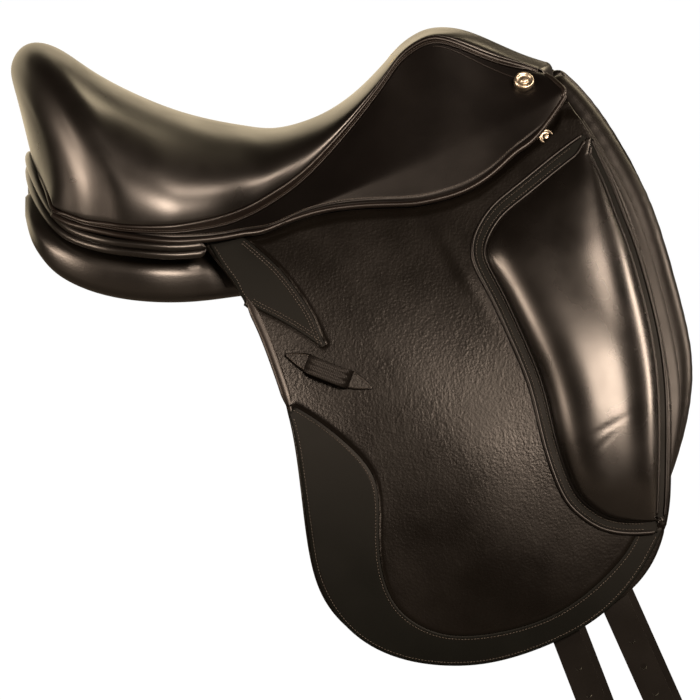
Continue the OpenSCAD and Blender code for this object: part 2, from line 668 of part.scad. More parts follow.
module head_studs() {
    at = function(u, v) mix(curve(skirt_top, u), curve(skirt_low, u), v);
    u = 0.945;
    v = 0.36;
    n = outward(at(u, v + 0.1) - at(u, v), at(u + 0.01, v) - at(u, v));
    color(chrome) for (name = ["left", "right"]) side(name)
        square_to(at(u, v) + n * 0.5, n) stud(stud_d, stud_h);
}

module flap_studs() {
    p = [232, 65];
    at = function(x, z) on_barrel([x, z], flap_hi);
    n = outward(at(p[0], p[1] + 1) - at(p[0], p[1]), at(p[0] + 1, p[1]) - at(p[0], p[1]));
    color(chrome) for (name = ["left", "right"]) side(name)
        square_to(at(p[0], p[1]) + n * 0.5, n) stud(stud_d * 0.8, stud_h * 0.8);
}

tree();
cantle_board();
head_plate();
spring_strips();
seat_webs();
gullet_lining();
seat_foam();
seat_cover();
seat_welt();
pommel_facing();
cantle_facing();
bar_rivets();
head_studs();
flap_studs();
stirrup_bar("left");  // stirrup_bar_left
stirrup_bar("right");  // stirrup_bar_right
bar_catch("left");  // bar_catch_left
bar_catch("right");  // bar_catch_right
catch_pin("left");  // catch_pin_left
catch_pin("right");  // catch_pin_right
panel("left");  // panel_left
panel("right");  // panel_right
front_roll("left");  // front_roll_left
front_roll("right");  // front_roll_right
point_pocket("left");  // point_pocket_left
point_pocket("right");  // point_pocket_right
sweat_flap("left");  // sweat_flap_left
sweat_flap("right");  // sweat_flap_right
girth_web("left");  // girth_web_left
girth_web("right");  // girth_web_right
billet("left", front_foot, front_lean);  // billet_front_left
billet("right", front_foot, front_lean);  // billet_front_right
billet("left", rear_foot, rear_lean);  // billet_rear_left
billet("right", rear_foot, rear_lean);  // billet_rear_right
tail("left", front_foot, front_lean);  // tail_front_left
tail("right", front_foot, front_lean);  // tail_front_right
tail("left", rear_foot, rear_lean);  // tail_rear_left
tail("right", rear_foot, rear_lean);  // tail_rear_right
flap_head("left");  // flap_head_left
flap_head("right");  // flap_head_right
flap("left");  // flap_left
flap("right");  // flap_right
flap_border("left");  // flap_border_left
flap_border("right");  // flap_border_right
flap_corner("left");  // flap_corner_left
flap_corner("right");  // flap_corner_right
thigh_block("left");  // thigh_block_left
thigh_block("right");  // thigh_block_right
keeper_loop("left");  // keeper_loop_left
keeper_loop("right");  // keeper_loop_right
keeper_tabs("left");  // keeper_tabs_left
keeper_tabs("right");  // keeper_tabs_right
skirt_head("left");  // skirt_head_left
skirt_head("right");  // skirt_head_right
skirt("left");  // skirt_left
skirt("right");  // skirt_right
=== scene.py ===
# %% [markdown]
# # A black dressage saddle
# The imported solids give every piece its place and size. They are plain where leather is not: a hide has a
# rounded rim, stitches and a slight swell. So each padded or leather piece is built again as a fine mesh
# on the same outlines, while the wood, steel and webbing inside keep their solids and get a finish.

# %% Load the frame
import json
import math

import bpy
import numpy as np
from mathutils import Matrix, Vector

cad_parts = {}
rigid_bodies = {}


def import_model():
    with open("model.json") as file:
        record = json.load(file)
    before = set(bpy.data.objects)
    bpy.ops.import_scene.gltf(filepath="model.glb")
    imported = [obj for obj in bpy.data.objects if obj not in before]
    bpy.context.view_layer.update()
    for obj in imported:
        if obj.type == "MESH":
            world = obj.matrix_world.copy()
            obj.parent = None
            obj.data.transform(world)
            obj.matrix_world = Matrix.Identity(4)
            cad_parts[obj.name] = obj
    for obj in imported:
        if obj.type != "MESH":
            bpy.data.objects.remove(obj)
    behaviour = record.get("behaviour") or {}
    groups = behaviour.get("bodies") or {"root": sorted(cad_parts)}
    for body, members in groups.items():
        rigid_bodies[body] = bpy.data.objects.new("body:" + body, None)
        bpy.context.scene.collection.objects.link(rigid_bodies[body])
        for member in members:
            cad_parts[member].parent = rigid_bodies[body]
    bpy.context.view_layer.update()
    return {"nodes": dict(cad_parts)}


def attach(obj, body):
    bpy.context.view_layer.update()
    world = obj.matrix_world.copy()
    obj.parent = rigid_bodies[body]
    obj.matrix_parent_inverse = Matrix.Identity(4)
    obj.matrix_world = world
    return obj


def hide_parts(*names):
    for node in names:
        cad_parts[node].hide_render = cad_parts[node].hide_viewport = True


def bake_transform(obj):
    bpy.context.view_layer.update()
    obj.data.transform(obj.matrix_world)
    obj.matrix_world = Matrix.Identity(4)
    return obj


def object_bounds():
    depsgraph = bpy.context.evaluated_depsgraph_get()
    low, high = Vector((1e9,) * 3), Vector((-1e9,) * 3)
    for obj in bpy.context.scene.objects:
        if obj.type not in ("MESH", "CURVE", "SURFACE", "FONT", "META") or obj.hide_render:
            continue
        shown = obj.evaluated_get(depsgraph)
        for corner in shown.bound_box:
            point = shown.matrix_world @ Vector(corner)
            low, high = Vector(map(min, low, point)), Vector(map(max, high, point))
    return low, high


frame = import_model()
MM = 0.001
SIDES = {"left": 1, "right": -1}

# %% [markdown]
# ## Curves
# A saddler cuts hides along smooth templates. A template could be a Bezier curve object; here it is a few
# points joined by a natural cubic spline, because its bending never jumps, and a glossy surface shows
# every jump. Points are in millimetres, x forward, z up. Paired pieces are written for the left side; the
# right side is their mirror image.

# %% Splines and paths
def spline(points, t):
    """A smooth curve through evenly paced points, at t from 0 to 1."""
    p = np.asarray(points, float)
    p = p[:, None] if p.ndim == 1 else p
    n = len(p) - 1
    system, pull = np.eye(n + 1), np.zeros_like(p)
    for i in range(1, n):
        system[i, i - 1:i + 2] = 1, 4, 1
        pull[i] = 6 * (p[i - 1] - 2 * p[i] + p[i + 1])
    bend = np.linalg.solve(system, pull)
    s = np.clip(np.asarray(t, float), 0, 1) * n
    i = np.minimum(s.astype(int), n - 1)
    f = (s - i)[..., None]
    step = p[i + 1] - p[i] - (2 * bend[i] + bend[i + 1]) / 6
    return p[i] + f * step + f**2 * bend[i] / 2 + f**3 * (bend[i + 1] - bend[i]) / 6


def unit(v):
    """The same directions, one long."""
    return v / np.maximum(np.linalg.norm(v, axis=-1, keepdims=True), 1e-9)


def ramp(x, lo, hi):
    """A smooth step from 0 at lo to 1 at hi."""
    f = np.clip((x - lo) / (hi - lo), 0, 1)
    return f * f * (3 - 2 * f)


def along(path):
    """Distance covered at each point of a path."""
    return np.concatenate([[0], np.cumsum(np.linalg.norm(np.diff(path, axis=0), axis=1))])


def evenly(path, step):
    """The path again, with its points about one step apart."""
    run = along(path)
    count = max(int(round(run[-1] / step)), 2)
    at = np.linspace(0, run[-1], count + 1)
    return np.stack([np.interp(at, run, path[:, k]) for k in range(path.shape[1])], -1)


print("a path of two 5 mm steps:", along(np.array([[0, 0], [3, 4], [6, 8]])).tolist(), "mm")

# %% [markdown]
# ## The horse's barrel
# Flaps, straps and blocks lie on the horse's sides. A mesh of the horse could be used with a Shrinkwrap
# modifier; a formula for its half width is exact everywhere, so any outline can be laid on it.

# %% The barrel
girth_x, girth_reach, taper_ahead, spread_behind = 150, 180, -12, 5
barrel_half, side_slope, side_curve = 100, 0.46, 0.0006


def narrowing(x):
    """Change of the barrel's half width one reach ahead of the girth line, or one reach behind it."""
    return np.where(x > girth_x, taper_ahead, spread_behind)


def barrel(x, z):
    """Half width of the horse's barrel under the flaps."""
    level = barrel_half - side_slope * z - side_curve * z * z
    return level + narrowing(x) * ((x - girth_x) / girth_reach) ** 2


def on_barrel(xz, off):
    """Points of the side view, laid on the barrel and moved outwards."""
    xz = np.asarray(xz, float)
    return np.stack([xz[..., 0], barrel(xz[..., 0], xz[..., 1]) + off, xz[..., 1]], -1)


def off_barrel(points):
    """The direction square to the barrel at each point."""
    x, z = points[..., 0], points[..., 2]
    slope_x = 2 * narrowing(x) * (x - girth_x) / girth_reach**2
    slope_z = -side_slope - 2 * side_curve * z
    return unit(np.stack([-slope_x, np.ones_like(x), -slope_z], -1))


print("barrel half width at the stirrup bar:", float(barrel(150.0, 30.0)), "mm")

# %% [markdown]
# ## From points to meshes
# Solidify, Bevel and Array modifiers could give thickness, rims and stitches. Building the points keeps
# every rim equally wide and lets stitches follow any line. Three builders cover the saddle. A hide is a
# sheet with a thickness and a burnished, rounded rim. A piping is a tube along a path. A seam is a row of
# separate stitches, so that each catches the light.

# %% Objects and faces
def make_object(name, points, faces, finish, side=1):
    """A smooth mesh from points in millimetres; side -1 mirrors it to the right."""
    points = np.asarray(points, float) * [MM, MM * side, MM]
    faces = faces if side > 0 else [tuple(reversed(f)) for f in faces]
    mesh = bpy.data.meshes.new(name)
    mesh.from_pydata(points.tolist(), [], faces)
    mesh.materials.append(finish)
    mesh.shade_smooth()
    mesh.validate()
    piece = bpy.data.objects.new(name, mesh)
    bpy.context.scene.collection.objects.link(piece)
    return piece


def quads(rows, cols, closed=False):
    """Four-cornered faces of a grid of points; closed joins the last column to the first."""
    return [(i * cols + j, i * cols + (j + 1) % cols, (i + 1) * cols + (j + 1) % cols, (i + 1) * cols + j)
            for i in range(rows - 1) for j in range(cols if closed else cols - 1)]


def turned(faces):
    """The same faces, facing the other way."""
    return [f[:1] + f[:0:-1] for f in faces]


def tube(rows, cols):
    """Faces of a tube of rings, with a lid at each end."""
    return quads(rows, cols, closed=True) + [
        tuple(range(cols - 1, -1, -1)), tuple((rows - 1) * cols + j for j in range(cols))]


def outline_of(rows, cols):
    """Row and column of each point on a grid's outline, once round."""
    return ([(0, j) for j in range(cols)] + [(i, cols - 1) for i in range(1, rows)]
            + [(rows - 1, j) for j in range(cols - 2, -1, -1)] + [(i, 0) for i in range(rows - 2, 0, -1)])


print("a sheet of 3 by 3 points:", len(quads(3, 3)), "faces,", len(outline_of(3, 3)), "points on its outline")


# %% A hide
def grid_normals(grid, facing):
    """The direction square to a grid at each point, on the side that faces a given way."""
    across = unit(np.cross(np.gradient(grid, axis=0), np.gradient(grid, axis=1)))
    return across if np.sum(across * facing) > 0 else -across


def hide(grid, thickness, facing=(0, 1, 0), rim=5, bulge=0.35):
    """Points and faces of a sheet below a grid of points, with a rounded rim."""
    nu, nv = grid.shape[:2]
    flat, size = grid.reshape(-1, 3), nu * nv
    n = grid_normals(grid, np.asarray(facing, float))
    loop = outline_of(nu, nv)
    at = np.array([i * nv + j for i, j in loop])
    back = np.array([min(max(i, 1), nu - 2) * nv + min(max(j, 1), nv - 2) for i, j in loop])
    edge, up = flat[at], n.reshape(-1, 3)[at]
    out = edge - flat[back]
    out = unit(out - up * np.sum(out * up, -1, keepdims=True))
    out = unit(sum(np.roll(out, k, 0) for k in range(-5, 6)))
    rows = [edge - up * thickness / 2 * (1 - math.cos(a)) + out * thickness * bulge * math.sin(a)
            for a in np.linspace(0, math.pi, rim + 1)[1:-1]]
    points = np.concatenate([flat, (grid - n * thickness).reshape(-1, 3)] + rows)
    rings = [at] + [2 * size + k * len(loop) + np.arange(len(loop)) for k in range(rim - 1)] + [size + at]
    following = [*range(1, len(loop)), 0]
    walls = [(int(r0[m]), int(r0[k]), int(r1[k]), int(r1[m]))
             for r0, r1 in zip(rings, rings[1:]) for k, m in enumerate(following)]
    cells = quads(nu, nv)
    middle = cells[len(cells) // 2]
    a, b, c = flat[list(middle[:3])]
    if np.dot(np.cross(b - a, c - b), n.reshape(-1, 3)[middle[0]]) < 0:
        cells, walls = [f[::-1] for f in cells], [f[::-1] for f in walls]
    return points, cells + [tuple(size + k for k in f[::-1]) for f in cells] + walls


test_sheet = np.stack(np.meshgrid([0, 1, 2], [0.0], [0, 1, 2], indexing="ij"), -1)[:, 0]
print("points of a hide of 3 by 3:", len(hide(test_sheet, 1.0)[0]))


# %% Pipings and seams
def round_section(sides=12):
    """A circle of radius 1."""
    a = np.linspace(0, 2 * math.pi, sides, endpoint=False)
    return np.stack([np.cos(a), np.sin(a)], -1)


def piping(path, normals, wide, high, section=round_section()):
    """A tube along a path: half width across the surface, half height off it, ends rounded."""
    path, normals = np.asarray(path, float), np.asarray(normals, float)
    t = unit(np.gradient(path, axis=0))
    n = unit(normals - t * np.sum(normals * t, -1, keepdims=True))
    b = np.cross(t, n)
    run = along(path)
    near = np.minimum(run, run[-1] - run) / np.maximum(wide, 0.1)
    size = np.sqrt(np.clip(1 - (1 - np.clip(near, 0.03, 1)) ** 2, 0.02, 1))
    ring = (path[:, None] + (b * (wide * size)[:, None])[:, None] * section[None, :, :1]
            + (n * (high * size)[:, None])[:, None] * section[None, :, 1:])
    return ring.reshape(-1, 3), tube(len(path), len(section))


stitch_steps, stitch_sides = (-0.5, -0.3, 0, 0.3, 0.5), 5


def seam(path, normals, pitch=3.4, length=2.6, thick=0.55):
    """A row of stitches on a path: short rounded threads, each sunk a little at its ends."""
    run = along(path)
    count = int(run[-1] / pitch)
    mid = (np.arange(count) + 0.5) * run[-1] / count

    def pick(values, at):
        return np.stack([np.interp(at, run, values[:, k]) for k in range(3)], -1)

    n = unit(pick(np.asarray(normals, float), mid))
    t = unit(pick(path, mid + 0.2) - pick(path, mid - 0.2))
    b = np.cross(t, n)
    points = []
    for step in stitch_steps:
        c = pick(path, mid + step * length) + n * thick * (0.3 - 1.6 * step * step)
        r = thick * (0.35 if abs(step) == 0.5 else 0.9)
        for a in 2 * math.pi * np.arange(stitch_sides) / stitch_sides:
            points.append(c + r * (b * math.cos(a) + n * math.sin(a)))
    one = tube(len(stitch_steps), stitch_sides)
    faces = [tuple(s * len(points) + k for k in f) for s in range(count) for f in one]
    return np.stack(points, 1).reshape(-1, 3), faces


def stitches_in(row):
    """How many stitches a row's points and faces make."""
    return len(row[1]) // len(tube(len(stitch_steps), stitch_sides))


def together(*parts):
    """Several point and face lists as one."""
    points, faces, base = [], [], 0
    for p, f in parts:
        points.append(p)
        faces += [tuple(k + base for k in face) for face in f]
        base += len(p)
    return np.concatenate(points), faces


test_path = np.array([[0, 0, 0], [10.0, 0, 0], [20, 0, 0]])
print("stitches on 20 mm:", stitches_in(seam(test_path, test_path * 0 + [0, 0, 1.0])))

# %% [markdown]
# ## Finishes
# Saddle leather is cowhide, drum-dyed black and finished with wax. The dye leaves a trace of brown, the
# wax a soft gloss. Smooth leather shows fine pores, milled leather a pebbled grain of about two
# millimetres with creases. Photographs of hide could be used as images; nodes in real millimetres need no
# file and show no seams. A bump node draws pores and grain; the gloss comes from the shader. One noise in
# patches of 60 mm varies dye and gloss a little, because no hide takes them evenly.

# %% Colour and node helpers
def linear(hex_colour):
    """An sRGB hex colour as the linear colour that the shader takes."""
    c = np.array([int(hex_colour[k:k + 2], 16) for k in (1, 3, 5)]) / 255
    return (*np.where(c <= 0.04045, c / 12.92, ((c + 0.055) / 1.055) ** 2.4), 1.0)


def add(tree, kind, inputs=None, **settings):
    """A node with its settings, its socket values and its links."""
    n = tree.nodes.new(kind)
    for key, value in settings.items():
        setattr(n, key, value)
    for key, value in (inputs or {}).items():
        if isinstance(value, bpy.types.NodeSocket):
            tree.links.new(value, n.inputs[key])
        else:
            n.inputs[key].default_value = value
    return n


def blank(name):
    """A material without nodes, and its node tree."""
    finish = bpy.data.materials.new(name)
    finish.use_nodes = True
    finish.node_tree.nodes.clear()
    return finish, finish.node_tree


def per_mm(size):
    """Texture scale, in repeats a metre, for a pattern of that size in millimetres."""
    return 1000.0 / size


def on_piece(tree):
    """Places on the piece in metres, so that each pattern keeps its real size."""
    return add(tree, "ShaderNodeTexCoord").outputs["Object"]


def two_tones(tree, factor, first, second):
    """A colour between two hex colours."""
    mix = add(tree, "ShaderNodeMix", {"Factor": factor, "A": linear(first), "B": linear(second)},
              data_type="RGBA")
    return mix.outputs["Result"]


def relief(tree, strength, depth, height, more=None):
    """The normal of a bump whose depth is in millimetres."""
    bump = {"Strength": strength, "Distance": depth * MM, "Height": height, **(more or {})}
    return add(tree, "ShaderNodeBump", bump).outputs["Normal"]


def coat(tree, colour, rough, normal, more):
    """The main shader with its sockets, joined to the output."""
    shader = add(tree, "ShaderNodeBsdfPrincipled", {
        "Base Color": colour, "Roughness": rough, "Normal": normal, **more})
    add(tree, "ShaderNodeOutputMaterial", {"Surface": shader.outputs[0]})


print("black dye in linear light:", np.round(linear("#050403")[:3], 4).tolist())


# %% Leather
def leather(name, dye, worn_dye, rough, grain_mm, grain_depth, crease_mm=0.0, crease_depth=0.0, shine=0.5):
    """Dyed hide: patches of tone and gloss, a pebbled grain and, if asked for, slanting creases."""
    finish, tree = blank(name)
    place = on_piece(tree)
    patch = add(tree, "ShaderNodeTexNoise", {"Vector": place, "Scale": per_mm(60), "Detail": 4.0})
    gloss = add(tree, "ShaderNodeMapRange", {
        "Value": patch.outputs["Fac"], "From Min": 0.3, "From Max": 0.7,
        "To Min": rough - 0.05, "To Max": rough + 0.06})
    cells = add(tree, "ShaderNodeTexVoronoi", {"Vector": place, "Scale": per_mm(grain_mm)},
                feature="SMOOTH_F1")
    normal = relief(tree, 0.6, grain_depth, cells.outputs["Distance"])
    if crease_mm:
        lean = add(tree, "ShaderNodeMapping", {
            "Vector": place, "Rotation": (0, math.radians(28), 0), "Scale": (1.0, 1.0, 0.38)})
        warp = add(tree, "ShaderNodeTexNoise", {
            "Vector": lean.outputs["Vector"], "Scale": per_mm(crease_mm), "Detail": 5.0,
            "Roughness": 0.62, "Distortion": 0.6})
        ridge = add(tree, "ShaderNodeMath", {0: warp.outputs["Fac"], 1: 0.5}, operation="SUBTRACT")
        fold = add(tree, "ShaderNodeMath", {0: ridge.outputs[0]}, operation="ABSOLUTE")
        normal = relief(tree, 0.8, crease_depth, fold.outputs[0], {"Normal": normal})
    colour = two_tones(tree, patch.outputs["Fac"], dye, worn_dye)
    coat(tree, colour, gloss.outputs["Result"], normal, {"IOR": 1.5, "Specular IOR Level": shine})
    return finish


# Real pores of smooth hide are under half a millimetre. Here they are drawn at 1 to 1.2 mm, coarser than
# real, because finer ones fall between the pixels.
# Ironed under a hot glazing plate: broad lamps show as clear pale bands that follow the seat's hollow.
seat_leather = leather("Glazed black cowhide", "#050403", "#080605", 0.32, 1.2, 0.03)
# Rubbed with wax and brushed: a low gloss, so the large plain skirt stays dark.
skirt_leather = leather("Waxed black cowhide", "#050404", "#080605", 0.36, 1.2, 0.05, shine=0.22)
# Left as it comes off the dye, without wax: matt, so border and corner stand back from the flap's middle.
trim_leather = leather("Smooth black trim leather", "#060706", "#0a0b09", 0.42, 1.2, 0.04, shine=0.06)
# Tumbled in a drum until the grain stands up: the highlight breaks into grains and short slanting creases.
flap_leather = leather("Milled black cowhide", "#060504", "#0a0806", 0.26, 2.0, 0.12, 6.5, 0.24, shine=0.14)
# Thin calf drawn tight over foam and glazed: the clearest highlights of the saddle.
block_leather = leather("Glazed black calf", "#050403", "#080605", 0.27, 1.0, 0.03)
# Thick back hide stuffed with grease: a dry, even sheen.
strap_leather = leather("Black bridle butt", "#060504", "#0b0907", 0.42, 1.0, 0.06, shine=0.15)
# Soft hide with open pores, polished by handling: a silky highlight along the panel.
lining_leather = leather("Soft black panel hide", "#060504", "#0a0806", 0.31, 1.6, 0.06, shine=0.5)
# The same hide where leg and girth rub the gloss off: a faint, wide highlight.
roll_leather = leather("Dull black soft hide", "#060504", "#0a0806", 0.36, 1.6, 0.06, shine=0.18)
# Cut edges dyed and rubbed with wax until brown comes through: a thin pale line along each hem.
edge_leather = leather("Burnished leather edge", "#0a0706", "#120d0a", 0.36, 1.2, 0.03, shine=0.3)
print("materials, with those of the solids:", len(bpy.data.materials))

# %% [markdown]
# ## Thread, webbing, metal, wood and foam
# These are small in the picture or hidden, so one noise for tone and relief does for most of them. Tape and
# web are woven. Each thread could be modelled, at a cost of many thousand faces, so a wave draws the ribs.

# %% Finishes of the other materials
def plain(name, colour, other, rough, pattern_mm, depth, metallic=0.0, stretch=(1, 1, 1)):
    """A finish whose colour and relief follow one stretched noise."""
    finish, tree = blank(name)
    lay = add(tree, "ShaderNodeMapping", {"Vector": on_piece(tree), "Scale": stretch})
    spots = add(tree, "ShaderNodeTexNoise", {
        "Vector": lay.outputs["Vector"], "Scale": per_mm(pattern_mm), "Detail": 5.0})
    tint = two_tones(tree, spots.outputs["Fac"], colour, other)
    coat(tree, tint, rough, relief(tree, 0.5, depth, spots.outputs["Fac"]), {"Metallic": metallic})
    return finish


def woven(name, colour, other, thread_mm, rough, shine=0.5):
    """Plain weave: ribs across the tape, each as wide as one thread."""
    finish, tree = blank(name)
    turn = add(tree, "ShaderNodeMapping", {"Vector": on_piece(tree), "Rotation": (0, math.radians(22), 0)})
    # The wave node's phase grows by 20 for each unit of place and scale; one rib takes a phase of 2 pi.
    ribs = add(tree, "ShaderNodeTexWave", {
        "Vector": turn.outputs["Vector"], "Scale": per_mm(thread_mm) * 2 * math.pi / 20,
        "Distortion": 0.4, "Detail": 2.0})
    # The tone follows the ribs' relief: the first colour lies in the grooves, the second on the crests.
    tint = two_tones(tree, ribs.outputs["Fac"], colour, other)
    coat(tree, tint, rough, relief(tree, 0.7, 0.3, ribs.outputs["Fac"]), {"Specular IOR Level": shine})
    return finish


# Twisted and waxed: each stitch is a little paler than the hide and carries its own glint.
thread = plain("Waxed polyester thread", "#2e2821", "#1f1a16", 0.5, 0.8, 0.05)
# Woven ribs: painted shade darkens each groove and painted light lifts each crest, giving soft light and dark
# lines across the tape; the gloss gives no clear highlight.
tape = woven("Woven black polyester tape", "#070606", "#12100e", 1.6, 0.45, shine=0.15)
jute = woven("Woven jute web", "#c9bda0", "#9c8d6d", 2.4, 0.8)
# Plated and polished, dulled by use: a warm grey mirror that is a little blurred.
nickel = plain("Polished nickel plate", "#b9b0a0", "#a89e8c", 0.36, 3.0, 0.01, metallic=1.0)
# Hammered, then tumbled: bright with a slightly wavy surface.
forged = plain("Forged and tumbled steel", "#b9bcc0", "#a3a6ab", 0.3, 2.0, 0.05, metallic=1.0)
# Blued by heat after hardening: darker and even.
sprung = plain("Blued spring steel", "#70747a", "#585c62", 0.35, 6.0, 0.03, metallic=1.0)
# Glued layers, stained and varnished thinly: long dark streaks that run with the rails.
beech = plain("Stained laminated beech", "#4a3524", "#352517", 0.5, 4.0, 0.08, stretch=(0.15, 1, 1))
# Poured in a mould: pale, matt, finely pitted.
latex = plain("Moulded latex foam", "#e0cf94", "#cdb97c", 0.85, 1.5, 0.2)
print("materials, with those of the solids:", len(bpy.data.materials))

# %% [markdown]
# ## The seat
# The seat is leather stretched wet over foam: one surface from the foot of the cantle, over its rim, down
# to the deepest point and up to the pommel. It could be sculpted, or draped as cloth, but a tight seat has
# no folds to drape. A spine curve gives the middle line, an edge curve the seam, and a rounded section
# between them turns from a peak at the cantle to a full cushion. The foam is the same surface, further in.

# %% Seat outlines
seat_spine = [
    (-219, 52), (-231, 104), (-235, 130), (-222, 148), (-196, 145), (-165, 124), (-128, 103), (-90, 87),
    (-56, 77.5), (-30, 72.5), (-6, 70), (20, 75), (46, 86), (72, 104.5), (94, 126), (110, 141),
    (128, 152), (148, 156), (169, 152), (192, 142), (216, 131), (236, 124)]
seat_edge = [
    (-199, 105, 16), (-190, 114, 12), (-180, 122, 9), (-168, 130, 6), (-150, 137, 4), (-133, 141, 2),
    (-105, 140, 1), (-83, 134, 2), (-55, 121, 6), (-30, 105, 13), (-9, 92, 23), (16, 76, 38),
    (44, 61, 63), (71, 50, 92), (93, 43, 119), (107, 39, 137), (124, 37, 149), (142, 36, 152),
    (165, 36, 144), (189, 36, 134), (212, 36, 127), (228, 35, 121)]
seat_round = [1.5, 1.8, 1.9] + [2.0] * 19
cover_t, foam_top, foam_t, foam_side = 2.0, 2.6, 22.0, 8.0


def flat_normal(d):
    """The direction square to a step in the plane."""
    return unit(np.stack([d[..., 1], -d[..., 0]], -1))


def seat(u, v, depth, inset):
    """Points of the seat for rows u and columns v, moved inwards."""
    e = 0.004

    def step(points):
        return spline(points, np.minimum(u + e, 1)) - spline(points, np.maximum(u - e, 0))

    s = spline(seat_spine, u) + depth * flat_normal(step(seat_spine))
    w = spline(seat_edge, u)
    w[:, :2] += inset * flat_normal(step(seat_edge)[:, :2])
    a = np.abs(v)[None, :] * math.pi / 2
    r = 2 / spline(seat_round, u)
    q, c = np.sin(a) ** r, np.cos(a).clip(0) ** r
    x = s[:, :1] + (w[:, :1] - s[:, :1]) * q * q
    y = np.sign(v)[None, :] * w[:, 1:2] * q
    z = w[:, 2:] + (s[:, 1:] - w[:, 2:]) * c
    return np.stack([x, y, z], -1)


print("seat:", len(seat_spine), "sections over", seat_spine[-1][0] - seat_spine[0][0], "mm")

# %% Seat cover and foam
rows, cols = np.linspace(0, 1, 190), np.linspace(-1, 1, 121)
# The columns stand a little closer at the middle line.
cols = np.sign(cols) * np.abs(cols) ** 1.15
top = seat(rows, cols, 0, 0)
# Small gathers at the seam, from the cantle to the waist.
gather_pace, gather_deep = 420, 0.05
gather = np.sin(rows * gather_pace)[:, None] * ramp(np.abs(cols), 0.93, 1.0)[None, :] * gather_deep
gather = gather * (1 - ramp(rows, 0.55, 0.65))[:, None]
top = top + grid_normals(top, np.array([0, 0, 1.0])) * gather[..., None]
# The nose turns down over the pommel: forward and down in millimetres, and the share of the width kept.
nose_turn = [(1.9, 0.4, 1), (3.6, 1.8, 1), (5.0, 4.2, 0.99), (5.8, 7.6, 0.98), (6.0, 12, 0.97),
             (5.6, 17, 0.95), (4.6, 22, 0.92)]
# Its corners sink further than its middle, more so the lower the row.
nose_half, corner_drop, drop_from, drop_over = 35, 7.0, 4, 18
droop = corner_drop * (top[-1, :, 1:2] / nose_half) ** 2 * np.array([0, 0, 1.0])
nose = [top[-1] * [1, k, 1] + [out, 0, -down] - droop * max(down - drop_from, 0) / drop_over
        for out, down, k in nose_turn]
top = np.concatenate([top, np.array(nose)])
seat_piece = make_object("seat", *hide(top, cover_t, facing=(0, 0, 1)), seat_leather)
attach(seat_piece, "frame")
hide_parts("seat_cover")

few, cut = np.linspace(0, 1, 70), np.linspace(-1, 1, 41)
over, under = seat(few, cut, foam_top, foam_top), seat(few, cut, foam_t, foam_side)
size = len(few) * len(cut)
lid = turned(quads(len(few), len(cut)))
loop = [i * len(cut) + j for i, j in outline_of(len(few), len(cut))]
wall = [(a, b, b + size, a + size) for a, b in zip(loop, loop[1:] + loop[:1])]
foam_piece = make_object("seat_cushion_foam", np.concatenate([over, under]).reshape(-1, 3),
                         lid + [tuple(size + k for k in reversed(f)) for f in lid] + wall, latex)
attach(foam_piece, "frame")
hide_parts("seat_foam")
print("seat cover:", len(seat_piece.data.vertices), "points")

# %% [markdown]
# ## Welt and skirts
# A flat welt is gathered into the seam round the seat. Below it hangs the skirt, sewn under the welt; its
# lower part lifts to reach the stirrup bar. Two meshes with a hinge would show a gap. On the real saddle
# that is one hide, so it is one mesh here, shaped over the fold between the two solids.

# %% Seat welt
welt_d, welt_drop = 4.0, 2.7
edge = np.array(seat_edge, float)[::-1] - [0, 0.6, welt_drop]
back = seat(np.array([0.0]), np.array([0.66, 0.33, 0.0]), 1, 1)[0] - [0, 0, welt_drop]
half = np.concatenate([edge, back])
line = np.concatenate([half, half[-2::-1] * [1, -1, 1]])
line = evenly(spline(line, np.linspace(0, 1, 900)), 1.2)
seat_mid = np.array([-20.0, 0, 30])
out = unit((line - seat_mid) * [0.2, 1, 0.0])
welt = piping(line, out, welt_d / 2, 1.7, round_section(14))
welt_piece = make_object("seat_welt_cord", *welt, edge_leather)
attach(welt_piece, "frame")
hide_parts("seat_welt")
print("welt:", round(along(line)[-1]), "mm long")

# %% Skirt outline
flap_hi, skirt_hi, skirt_t, front_lift = 15.0, 19.7, 3.5, 5
fold_rear = np.array([-12, float(barrel(-12.0, -3.0)) + skirt_hi, -3])
fold_front = np.array([249, float(barrel(249.0, 101.0)) + skirt_hi + front_lift, 101])
skirt_tail = [
    (-200, 110, 9), (-190, 121, 5), (-181, 129, 2), (-169, 136, -1), (-151, 143, -5), (-134, 147, -8),
    (-106, 149, -12), (-84, 146, -13), (-57, 139, -12), (-33, 131, -9)]
# Places along the fold: of the skirt's sections, and of the points that the hem is drawn through.
fold_x = [-11, 16, 46, 76, 103, 122, 143, 163, 185, 206, 228, 248.5]
skirt_hem = [
    (-15, -7), (14, 3), (48, 10), (83, 12), (118, 13), (148, 19), (171, 28), (187, 39), (200, 50), (214, 61),
    (229, 72), (240, 82), (246, 92)]
hem_fold_x = [-11, 17, 50, 84, 118, 147, 169, 186, 200, 214, 229, 240, 248]


def fold(x):
    """The point at x on the straight line along which the skirt bends."""
    return fold_rear + (fold_front - fold_rear) * ((x - fold_rear[0]) / (fold_front[0] - fold_rear[0]))


